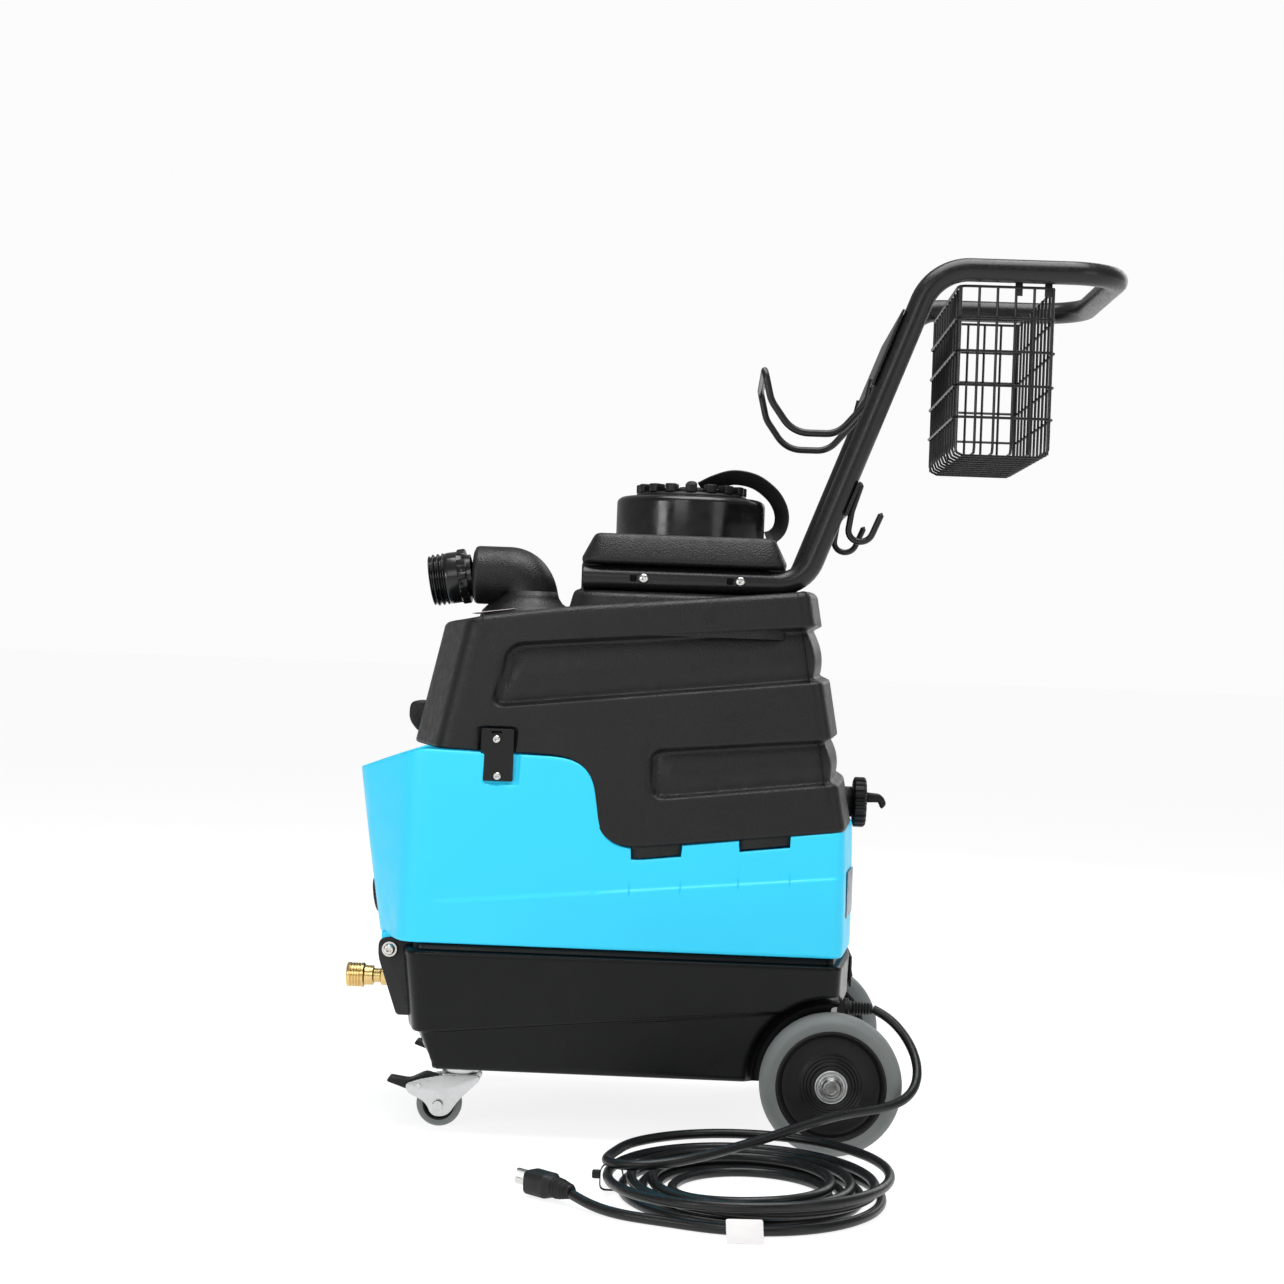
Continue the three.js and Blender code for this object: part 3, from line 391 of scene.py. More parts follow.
worldLinks.new(pick.outputs["Shader"], worldNodes["World Output"].inputs["Surface"])
for lampName, lampPlace, lampAim, lampSize, lampPower in studio["lamps"]:
    lamp = bpy.data.objects.new(lampName, bpy.data.lights.new(lampName, "AREA"))
    lamp.data.size = lampSize
    lamp.data.energy = lampPower
    aim = np.array(lampAim) - np.array(lampPlace)
    lamp.matrix_world = Matrix.Translation(lampPlace) @ Matrix.Rotation(
        math.atan2(aim[1], aim[0]) - math.pi / 2, 4, "Z") @ Matrix.Rotation(
        math.pi / 2 - math.atan2(-aim[2], math.hypot(aim[0], aim[1])), 4, "X")
    bpy.context.scene.collection.objects.link(lamp)
reach = studio["floorSize"]
floorMesh = bpy.data.meshes.new("floor")
floorMesh.from_pydata([(-reach, -reach, 0), (reach, -reach, 0), (reach, reach, 0), (-reach, reach, 0)], [],
                      [(0, 1, 2, 3)])
floor = bpy.data.objects.new("floor", floorMesh)
bpy.context.scene.collection.objects.link(floor)
floorPaint = bpy.data.materials.new("paleFloor")
floorPaint.use_nodes = True
for socket, value in studio["floor"].items():
    floorPaint.node_tree.nodes["Principled BSDF"].inputs[socket].default_value = value
floorMesh.materials.append(floorPaint)
bpy.context.scene.view_settings.view_transform = "Standard"
print("camera and studio ready")


# Mains cord: out of the strain relief, over the near wheel, across the coil and round it eight times

cord = {
    "radius": 5, "length": 6.46, "exit": (171.6, -140, 150),
    "lead": [(171.6, -140, 150), (178, -140.4, 149.4), (187, -143, 145), (201, -152, 132), (215, -168, 112),
             (220, -186, 90), (214, -205, 74), (200, -222, 65), (182, -236, 61), (160, -246, 59.5), (134, -262, 57),
             (104, -286, 53), (84, -303, 49), (62, -325, 45), (38, -350, 42), (12, -378, 39), (-18, -404, 36),
             (-46, -421, 33), (-74, -425, 30.5), (-97, -413, 28.6), (-108, -392, 27.6)],
    "centre": (35, -400), "halves": (145, 170), "from": 166, "turns": 7.82,
    "slots": [(1.0, 27.3), (0.93, 16.4), (0.79, 16.4), (0.65, 16.4), (0.50, 5.4), (0.615, 5.4), (0.73, 5.4),
              (0.85, 5.4), (0.985, 5.4), (0.985, 5.4)],  # share of the half axes and height at each whole turn
    "tail": [(-84, -521, 5.4), (-104, -502, 5.6), (-122, -484, 8), (-132, -472, 11)],
    "step": 4, "smoothing": 36, "stepsPerTurn": 40,
}


def cordRoute():
    # coil: angle falls from the start; size and height pass from slot to slot, the drop left to each turn's last third
    turn = np.linspace(0, cord["turns"], int(cord["turns"] * cord["stepsPerTurn"]))
    slot = np.array(cord["slots"])
    k = np.minimum(turn.astype(int), len(slot) - 2)
    part = turn - k
    share = slot[k, 0] + (slot[k + 1, 0] - slot[k, 0]) * part
    height = slot[k, 1] + (slot[k + 1, 1] - slot[k, 1]) * smoothStep((part - 0.65) / 0.35)
    angle = np.radians(cord["from"]) - 2 * math.pi * turn
    wander = 1 + 0.018 * np.sin(1.7 * angle + 0.6) * np.clip(turn, 0, 1) * np.clip(cord["turns"] - turn, 0, 1)
    x = cord["centre"][0] + cord["halves"][0] * share * wander * np.cos(angle)
    y = cord["centre"][1] + cord["halves"][1] * share * wander * np.sin(angle)
    lead = throughPoints(cord["lead"], 6)
    tail = throughPoints(cord["tail"], 6)
    path = np.concatenate([lead, np.stack([x, y, height], -1)[2:-1], tail])
    path = evenly(path, cord["step"])
    for _ in range(cord["smoothing"]):  # each inner point moves to the mean of itself and its neighbours
        path[1:-1] = (path[:-2] + 2 * path[1:-1] + path[2:]) / 4
    return path


cordPath = cordRoute()
print("cord length", round(pathLength(cordPath) * mm, 3))
cordPiece = makePiece("mains_cord", [tubeAlong(cordPath, cord["radius"], 14, hint=(0.05, 0.08, 1))], "base",
                      "cord", ("cord_lead", "cord_coil", "cord_tail"), sharp=60)


# Plug: waisted body with a ribbed grip, two flat blades and a round earth pin

plug = {"place": (-132.6, -471.2, 13.4), "turn": 136}


def makePlug():
    x = np.concatenate([[0, 0], np.linspace(0.5, 58, 90), [58, 58]])
    nose = smoothStep((x - 24) / 8)
    grip = 6.6 + 3.2 * smoothStep(x / 20)
    half = grip * (1 - nose) + 12.6 * nose
    rib = np.where((x > 3) & (x < 23), 0.9 * np.cos((x - 3) / 4.0 * 2 * math.pi), 0)
    edge = np.clip(np.minimum(x, 58 - x) / 1.6, 0, 1)
    half = (half + rib) * np.where(edge < 1, np.sqrt(np.clip(1 - (1 - edge) ** 2, 0.72, 1)), 1)
    half[[0, -1]] = 0
    angle = np.linspace(0, 2 * math.pi, 49)
    power = 2 + 2.2 * nose[:, None]  # round behind, squarer at the face
    squash = (np.abs(np.cos(angle)) ** power + np.abs(np.sin(angle)) ** power) ** (-1 / power)
    body = np.stack([np.repeat(x[:, None], 49, 1), half[:, None] * squash * np.cos(angle) * 0.98,
                     half[:, None] * squash * np.sin(angle) * np.where(nose[:, None] > 0.5, 0.94, 0.98)], -1)
    blades = [flatPlate(roundCorners([(57, z - 3.2), (74.5, z - 3.2, 2), (74.5, z + 3.2, 2), (57, z + 3.2)]),
                        y - 0.8, y + 0.8, "y", 0.25) for y, z in ((-6.4, -1), (6.4, -1))]
    pin = turned([(0, 57), (2.4, 57), (2.4, 76), (1.9, 78.2), (0, 79)], (0, 0, 7), "x", 24)

    def laid(grid):
        return turnAbout(grid, (0, 0, 0), (0, 0, 1), plug["turn"]) + np.array(plug["place"])

    return [laid(body)], [laid(grid) for grid in blades + [pin]]


plugBody, plugPins = makePlug()
plugPiece = makePiece("plug_body", plugBody, "base", "rubber", ("plug",))
pinPiece = makePiece("plug_pins", plugPins, "base", "steel")
relief = [(0, 0.3), (11, 0.3), (11, 4.2), (10.2, 5.2), (8.6, 5.6), (8.4, 8)]
relief += [(7.6 - 0.055 * h + (0.75 if k % 2 else -0.35), h) for k, h in enumerate(np.arange(9, 29, 1.6))]
relief += [(6.1, 30), (5.2, 30.5), (0, 30.5)]
makePiece("strain_relief_boot", [turned(relief, (139.7, -140, 150), "x", 32)], "base", "rubber", ("strain_relief",))
ties = {"tagSize": (34, 24), "tagLean": 52, "tagPlace": (31, -583, 9.9), "y": -401, "band": 4.4, "thick": 1.2,
        "round": [(-109, 0.8, 6), (-86, 0.8, 4), (-86, 17, 6), (-90, 27, 7), (-104, 27, 6), (-109, 21, 5)],
        "knob": [(-117, 12, 2), (-108.6, 12, 2), (-108.6, 20, 2), (-117, 20, 2)], "knobHalf": 3.4}


def tagAndTie():
    # the tag is a thin sheet leaning on the front turn; the tie is a flat band round the outer turns, its knob outside
    width, height = ties["tagSize"]
    sheet = flatPlate(roundCorners([(-width / 2, -height / 2, 2), (width / 2, -height / 2, 2),
                                    (width / 2, height / 2, 2), (-width / 2, height / 2, 2)], 3), 0, 0.6, "z", 0.2)
    sheet[..., 2] += 1.6 * np.cos(sheet[..., 0] / 11)
    sheet = turnAbout(turnAbout(sheet, (0, 0, 0), (1, 0, 0), ties["tagLean"]), (0, 0, 0), (0, 0, 1), 5)
    ring = evenly(closeRing(roundCorners(ties["round"], 8)), 2.5)
    path = np.stack([ring[:, 0], 0 * ring[:, 0] + ties["y"], ring[:, 1]], -1)
    half, thin = ties["band"] / 2, ties["thick"] / 2
    strip = roundCorners([(-thin, -half, 0.4), (thin, -half, 0.4), (thin, half, 0.4), (-thin, half, 0.4)], 2)
    band = swept(path, strip, (0, 1, 0))
    knob = flatPlate(roundCorners(ties["knob"], 3), ties["y"] - ties["knobHalf"], ties["y"] + ties["knobHalf"], "y", 1)
    return sheet + np.array(ties["tagPlace"]), [band, knob]


tagGrid, tieGrids = tagAndTie()
tagPiece = makePiece("cord_tag_blank", [tagGrid], "base", "paper")
tiePiece = makePiece("cord_tie_band", tieGrids, "base", "rubber")
print("cord laid")


# Tanks and base: plan outlines skinned upward, each column of points running up one vertical line of the wall

def planRing(nose, noseHalf, front, rear, half, crown=18, alongSide=None, radii=(22, 20, 14, 50)):
    # flat nose, slanting cheeks, straight sides and crowned rear, with quadratic curves at the eight corners
    near = [(nose, -noseHalf), (front, -half), (rear, -half), (rear + crown, -60)]
    corners = np.array(near + [(x, -y) for x, y in near[::-1]], float)
    radius = np.array(list(radii) + list(radii[::-1]), float)[:, None]
    toBack, toNext = np.roll(corners, 1, 0) - corners, np.roll(corners, -1, 0) - corners
    start, end = (corners + unit(line) * np.minimum(radius, 0.49 * np.linalg.norm(line, axis=1, keepdims=True))
                  for line in (toBack, toNext))
    t = np.linspace(0, 1, 9)[:, None]
    alongSide = np.linspace(0, 1, 40) if alongSide is None else alongSide
    points = []
    for i in range(8):
        points.append((1 - t) ** 2 * start[i] + 2 * t * (1 - t) * corners[i] + t ** 2 * end[i])
        if i in (1, 5):  # the two long sides, whose points are at given places between the front and rear corners
            share = (alongSide if i == 1 else 1 - alongSide[::-1])[:, None]
        else:
            share = np.linspace(0, 1, 22 if i in (3, 7) else 8)[1:-1, None]
        follow = start[(i + 1) % 8]
        low, high = (front, rear) if i == 1 else (rear, front)
        line = end[i] + (follow - end[i]) * share
        if i in (1, 5):
            line[:, 0] = low + (high - low) * share[:, 0]
            inside = (line[:, 0] - end[i][0]) * (line[:, 0] - follow[0]) < 0
            line[~inside, 0] = np.where(np.abs(line[~inside, 0] - end[i][0]) < np.abs(line[~inside, 0] - follow[0]),
                                        end[i][0], follow[0])
        points.append(line)
    return closeRing(np.concatenate(points))


def ringNormals(ring):  # outward, at right angles to the line between each point's neighbours
    inner = ring[:-1]
    ahead = np.roll(inner, -2, 0) - np.roll(inner, 2, 0)
    return closeRing(unit(np.stack([ahead[:, 1], -ahead[:, 0]], -1)))


def shareOf(places, front, rear):  # places along X as shares of the way from front to rear
    return (np.asarray(places, float) - front) / (rear - front)


def wallGrid(lowRing, highRing, lowZ, highZ, z, push=0.0):
    # each point = low ring + (high ring - low ring) * height share + outward normal * push
    share = ((z - lowZ) / (highZ - lowZ))[..., None]
    flat = lowRing[None] + (highRing - lowRing)[None] * share
    normal = ringNormals((lowRing + highRing) / 2)[None]
    flat = flat + normal * np.broadcast_to(push, z.shape)[..., None]
    return np.concatenate([flat, z[..., None]], -1)


def toMiddle(row, rows, lift=0.0):
    # closes a row of points to the machine's middle line: Y shrinks to 0, Z gains lift * (1 - share^2)
    share = np.linspace(1, 0, rows + 1)[1:, None]
    x = np.repeat(row[None, :, 0], rows, 0)
    z = np.repeat(row[None, :, 2], rows, 0) + lift * (1 - share ** 2)
    return np.stack([x, row[None, :, 1] * share, z], -1)


def toCentre(row, rows, lift=0.0):
    # closes a row of points to its middle: X and Y shrink to their means, Z gains lift * (1 - share^2)
    share = np.linspace(1, 0, rows + 1)[1:, None, None]
    middle = row.mean(0)
    grid = middle + (row - middle)[None] * share
    grid[..., 2] = row[None, :, 2] + lift * (1 - share[..., 0] ** 2)
    return grid


def profileHeight(corners, steps=10):  # height as a function of X, along an outline with rounded corners
    line = roundCorners(corners, steps, closed=False)
    return lambda x: np.interp(x, line[:, 0], line[:, 1])


def insideCorner(distances, radius):
    # distance from the edge of a pocket with rounded corners: radius minus the length of the shortfalls below it
    short = [np.maximum(radius - d, 0) for d in distances]
    return radius - np.sqrt(sum(s ** 2 for s in short))


blueTank = {"bottom": 210, "nose": (-374, -402.6), "front": (-341, -333), "rear": (132, 129), "topAt": 394,
            "noseHalf": 120, "half": 200, "wall": 7, "rim": 2.6, "crease": [(-319, 254), (-128, 272), (122, 296)],
            "top": [(-430, 378), (-329, 418, 8), (-165, 414, 24), (-141, 396, 20), (-130, 334, 20), (-103, 317.5, 24),
                    (160, 349.5)],
            "notches": [(-98, -43), (19, 74)], "notchDepth": 12, "clip": (-264.5, -223.5, 381.5), "clipDepth": 4.5}


def tankSides(extra):  # places of the wall's columns: close together where the edge is steep or stepped
    places = [np.arange(-320, -172, 4), np.arange(-171, -97, 1.1), np.arange(-94, 128, 4)]
    return np.unique(np.concatenate(places + [np.array(extra, float)]))


def bluePiece():
    b = blueTank
    steps = [x + d for pair in b["notches"] for x in pair for d in (-0.5, 0.5)]
    steps += [x + d for x in b["clip"][:2] for d in (-0.8, 0.8)]
    share = shareOf(tankSides(steps), b["front"][0], b["rear"][0])
    rings = [planRing(b["nose"][k], b["noseHalf"], b["front"][k], b["rear"][k], b["half"], alongSide=share)
             for k in (0, 1)]
    x = rings[0][:, 0]
    onSide = smoothStep((np.abs(rings[0][:, 1]) - b["half"] + 6) / 4)
    top = profileHeight(b["top"])(rings[1][:, 0] * 0.7 + rings[0][:, 0] * 0.3)
    for low, high in b["notches"]:
        top = top - b["notchDepth"] * onSide * ((x > low - 0.1) & (x < high + 0.1))
    rim, wall = b["rim"], b["wall"]
    z = b["bottom"] + 4 + (top - rim - b["bottom"] - 4)[None] * np.linspace(0, 1, 112)[:, None]
    crease = np.interp(x, *np.array(b["crease"]).T)[None]
    below = smoothStep((crease - z) / 4 + 0.5) * smoothStep((x[None] + 322) / 40) * smoothStep((134 - x[None]) / 14)
    push = 2.6 * below * smoothStep((z - b["bottom"]) / 60) + 0.8 * np.sin(np.pi * np.clip(
        (z - b["bottom"]) / (top[None] - b["bottom"]), 0, 1))
    low, high, floorZ = b["clip"]
    pocket = insideCorner([x[None] - low + 0 * z, high - x[None] + 0 * z, z - floorZ], 4)
    push = push - b["clipDepth"] * onSide[None] * smoothStep(pocket / 2.2)
    body = wallGrid(rings[0], rings[1], b["bottom"], b["topAt"], z, push)
    turn = np.linspace(0, math.pi / 2, 6)[:, None]
    heel = np.repeat(body[:1], 6, 0)
    normal = ringNormals(rings[0])
    heel[..., :2] -= normal[None] * (5 * (1 - np.sin(turn)))[..., None]
    heel[..., 2] = b["bottom"] + 4 * (1 - np.cos(turn)) * np.ones_like(x)
    lip = []
    for inset, rise in ((0.8, 0.75), (2.6, 1), (wall - 2.6, 1), (wall - 0.8, 0.75), (wall, 0)):
        row = body[-1].copy()
        row[:, :2] -= normal * inset
        row[:, 2] += rim * rise
        lip.append(row)
    inner = []
    for level in (90, 60, 30, 2):  # rows of the outer wall that the inner one follows down
        row = body[level].copy()
        row[:, :2] -= normal * wall
        row[:, 2] += wall * (1 - level / 90)
        inner.append(row)
    grid = np.concatenate([toMiddle(heel[0], 3)[::-1], heel, body[1:], lip, inner, toMiddle(inner[-1], 3)])
    lugs = [flatPlate(roundCorners([(-367, 214), (-367, 187, 8), (-347, 187, 8), (-347, 214)]), y, y + 10.6, "y", 1)
            for y in (-149.6, 139)]
    makePiece("solution_tank_shell", [grid] + lugs, "tank_assembly", "blue", ("solution_tank",), sharp=50)


bluePiece()

blackTank = {"lowZ": 310, "highZ": 605, "nose": -350, "front": -310, "rear": 118.5, "half": 196.6, "noseHalf": 75,
             "bottom": [(-380, 419.6), (-330, 419.2, 2), (-165, 415.2, 24), (-140, 397, 20), (-129, 335, 20),
                        (-103, 319, 24), (160, 351.5)],
             "top": [(-380, 551), (-297, 561, 14), (-190, 576, 50), (97, 600, 6), (160, 606)], "edge": 9,
             "pockets": [  # top line, bottom line, front line as (place, value, slope), depth, bulge
                 {"top": (-238, 536, 0.0866), "bottom": (-256, 462, 0.1142), "front": (462, -256, 0.243),
                  "depth": 13.5, "bulge": 0.62, "round": 17},
                 {"top": (-83, 427, 0.0914), "bottom": (-78, 370, 0.119), "front": (370, -78, -0.09),
                  "depth": 12, "bulge": 0.62, "round": 15}],
             "clip": (-264.5, -223.5, 444.5), "clipDepth": 5.5}


def blackPiece():
    b = blackTank
    rise = [(z - 413) / 187 for z in (b["lowZ"], b["highZ"])]
    share = shareOf(tankSides([-265.3, -263.7, -224.3, -222.7]), b["front"], b["rear"])
    rings = [planRing(b["nose"] + 41 * k, b["noseHalf"], b["front"] + 39 * k, b["rear"] - 34 * k, b["half"] - 9 * k, 15,
                      share, (24, 15, 14, 50)) for k in rise]
    x = rings[0][:, 0] * 0.5 + rings[1][:, 0] * 0.5
    normal = ringNormals((rings[0] + rings[1]) / 2)
    low, high = profileHeight(b["bottom"])(x), profileHeight(b["top"])(x)
    edge = b["edge"]
    z = (low + 3)[None] + (high - edge - low - 3)[None] * np.linspace(0, 1, 128)[:, None]
    zShare = (z - b["lowZ"]) / (b["highZ"] - b["lowZ"])
    real = rings[0][None, :, 0] + (rings[1] - rings[0])[None, :, 0] * zShare
    push = 0 * z
    for p in b["pockets"]:
        top = p["top"][1] + p["top"][2] * (real - p["top"][0])
        bottom = p["bottom"][1] + p["bottom"][2] * (real - p["bottom"][0])
        front = p["front"][1] + p["front"][2] * (z - p["front"][0])
        inside = insideCorner([top - z, z - bottom, real - front], p["round"])
        middle = np.sin(np.pi * np.clip((z - bottom) / (top - bottom), 0, 1)) ** 0.8
        middle = middle * smoothStep((real - front) / 24)
        push = push - p["depth"] * smoothStep(inside / 7) * (1 - p["bulge"] * middle)
    clipLow, clipHigh, clipTop = b["clip"]
    onSide = smoothStep((np.abs(normal[:, 1]) - 0.9) / 0.08)[None]
    pocket = insideCorner([real - clipLow, clipHigh - real, clipTop - z], 3)
    push = push - b["clipDepth"] * onSide * smoothStep(pocket / 2)
    body = wallGrid(rings[0], rings[1], b["lowZ"], b["highZ"], z, push)
    turn = np.linspace(0, math.pi / 2, 8)[1:, None]
    brow = np.repeat(body[-1:], 7, 0)
    brow[..., :2] -= normal[None] * (edge * (1 - np.cos(turn)))[..., None]
    brow[..., 2] += edge * np.sin(turn)
    heel = np.repeat(body[:1], 4, 0)
    back = np.linspace(0, math.pi / 2, 5)[:4, None]
    heel[..., :2] -= normal[None] * (3 * (1 - np.sin(back)))[..., None]
    heel[..., 2] -= 3 * np.cos(back)
    grid = np.concatenate([toMiddle(heel[0], 4)[::-1], heel, body, brow, toMiddle(brow[-1], 6, 2.0)])
    tab = flatPlate(roundCorners([(-361, 464, 9), (-362, 442, 8), (-351, 429, 5), (-326, 427), (-322, 464)]), -24, 24,
                    "y", 4)
    feet = [flatPlate([(x0, 317.5 + (x0 + 103) * 0.124 + 8), (x0, 317.5 + (x0 + 103) * 0.124 - 10.6),
                       (x1, 317.5 + (x1 + 103) * 0.124 - 10.6), (x1, 317.5 + (x1 + 103) * 0.124 + 8)],
                      s * 188, s * 195.5, "y", 0.8)
            for x0, x1 in ((-97, -44), (20, 73)) for _, s in sides]
    neck = turned([(0, 126), (16, 126), (17.5, 136), (17.5, 148), (15.5, 149), (0, 149)], (0, 0, 366), "x", 48)
    pad = turned([(24, 560), (56, 560), (52, 571), (46, 577), (40, 581), (36, 587), (34, 594), (24, 594), (24, 560)],
                 (-232, 0, 0), "z", 64)
    makePiece("recovery_tank_shell", [grid, tab, neck, pad] + feet, "tank_assembly", "black", ("recovery_tank",),
              sharp=85)


blackPiece()

pedestal = {"front": -163, "rear": 60, "half": 171.6, "corner": 26,
            "rows": [  # height, inset all round, further inset on the two long sides
                (548, -18, 0), (572, -13, 0), (588, -9, 0), (591, -8, 0.5), (593.5, -6.5, 4), (595, -4, 12),
                (595.8, -1.5, 26), (597, 0, 28.5), (610, 0, 29), (622, 0, 28.5), (623.4, 0.4, 27), (624.4, 0.8, 12),
                (625.4, 0.8, 3), (626.8, 0.3, 0.4), (629, 0, 0), (631.5, 0.4, 0), (652, 11, 0), (655, 12.8, 0),
                (656.8, 15, 0), (657.6, 18, 0), (657.8, 24, 0)]}


def pedestalPiece():
    p = pedestal
    ring = roundCorners([(p["front"], -p["half"], p["corner"]), (p["rear"], -p["half"], p["corner"]),
                         (p["rear"], p["half"], p["corner"]), (p["front"], p["half"], p["corner"])], 14)
    dense = evenly(closeRing(ring), 4)
    normal = ringNormals(dense)
    onSide = smoothStep((np.abs(normal[:, 1]) - 0.35) / 0.5)
    rows = np.array(p["rows"])
    inset = rows[:, 1:2] + rows[:, 2:3] * onSide[None]
    flat = dense[None] - normal[None] * inset[..., None]
    grid = np.concatenate([flat, np.repeat(rows[:, :1, None], len(dense), 1)], -1)
    grid = np.concatenate([toCentre(grid[0], 2)[::-1], grid, toCentre(grid[-1], 6, 0.6)])
    makePiece("recovery_tank_pedestal", [grid], "tank_assembly", "black", sharp=50)


pedestalPiece()

basePan = {"nose": (-338.5, -349.5), "front": (-323, -334), "rear": (129, 132), "half": (194, 197), "bandLow": 112,
           "top": 202, "bottom": 72, "inset": 9, "innerHalf": 162,
           "bandEdge": [(-360, 110), (-300, 114, 30), (26, 146, 60), (190, 160)], "arch": (125, 76.2, 87, 170)}


def baseGrid():
    b = basePan
    places = np.unique(np.concatenate([np.arange(-312, 20, 6), np.arange(20, 128, 2.5)]))
    share = shareOf(places, b["front"][0], b["rear"][0])
    rings = [planRing(b["nose"][k], 120, b["front"][k], b["rear"][k], b["half"][k], alongSide=share) for k in (0, 1)]
    normal = ringNormals(rings[0])
    x, edge = rings[0][:, 0], profileHeight(b["bandEdge"])(rings[0][:, 0])
    t = np.linspace(0, 1, 44)[:, None]
    lowZ = b["bottom"] + 6 + (edge - 3 - b["bottom"] - 6)[None] * t
    sweepIn = np.clip(-normal[:, 0], 0, 1)[None] * (8 * (1 - t) + 9 * (1 - t) ** 5)
    lower = wallGrid(rings[0], rings[1], b["bandLow"], b["top"], lowZ, -b["inset"] - sweepIn)
    turn = np.linspace(0, math.pi / 2, 6)[:-1, None]
    heel = np.repeat(lower[:1], 5, 0)
    heel[..., :2] -= normal[None] * (6 * (1 - np.sin(turn)))[..., None]
    heel[..., 2] = b["bottom"] + 6 * (1 - np.cos(turn)) * np.ones_like(x)
    rows = []
    for out, up in ((-b["inset"] + 0.6, -1.6), (-b["inset"] + 2.4, -0.6), (-2.4, 0), (-0.7, 0.8), (0, 2.6)):
        rows.append((out, edge + up))
    step = wallGrid(rings[0], rings[1], b["bandLow"], b["top"], np.array([r[1] for r in rows]),
                    np.array([r[0] for r in rows])[:, None])
    bandZ = (edge + 3)[None] + (b["top"] - 5 - edge - 3)[None] * np.linspace(0, 1, 26)[:, None]
    band = wallGrid(rings[0], rings[1], b["bandLow"], b["top"], bandZ)
    brow = np.repeat(band[-1:], 6, 0)
    arc = np.linspace(0, math.pi / 2, 7)[1:, None]
    brow[..., :2] -= normal[None] * (5 * (1 - np.cos(arc)))[..., None]
    brow[..., 2] += 5 * np.sin(arc)
    outer = np.concatenate([heel, lower[1:], step, band, brow])
    cx, cz, radius, inner = b["arch"]
    reach = np.hypot(outer[..., 0] - cx, outer[..., 2] - cz)
    hollow = smoothStep((radius + 7 - reach) / 13)
    limit = np.abs(outer[..., 1]) + (np.minimum(np.abs(outer[..., 1]), inner) - np.abs(outer[..., 1])) * hollow
    outer[..., 1] = np.sign(outer[..., 1]) * limit
    lips = []
    for inset, height in ((8.6, 202.2), (9, 203), (9, 208.6), (9.8, 209.5), (14, 209.5), (15, 208.8), (15.4, 200)):
        row = band[-1].copy()
        row[:, :2] -= normal * inset
        row[:, 2] = height
        lips.append(row)
    hull = lips[-1].copy()
    hull[:, 0] = np.clip(hull[:, 0], -318, 118)
    hull[:, 1] = np.clip(hull[:, 1], -b["innerHalf"], b["innerHalf"])
    inside = [hull + np.array([0, 0, z - 200]) for z in (196, 100, 79)]
    deep = inside[-1].copy()
    deep[:, 0] = np.clip(deep[:, 0], -290, 112)
    inside[-1] = deep
    return np.concatenate([toMiddle(heel[0], 3)[::-1], outer, lips, inside, toMiddle(deep, 3)])


makePiece("base_pan_shell", [baseGrid()], "base", "base", ("base_pan",), sharp=50)
print("tanks and base built")


# Lid: glossy outer ring, castellated cap with a small knob, rubber tether

lid = {"x": -48, "base": 658.5, "teeth": 16, "toothTurn": 6.4, "ribs": 8, "strapTwist": 48,
       "strapHalf": (1.1, 10.5)}


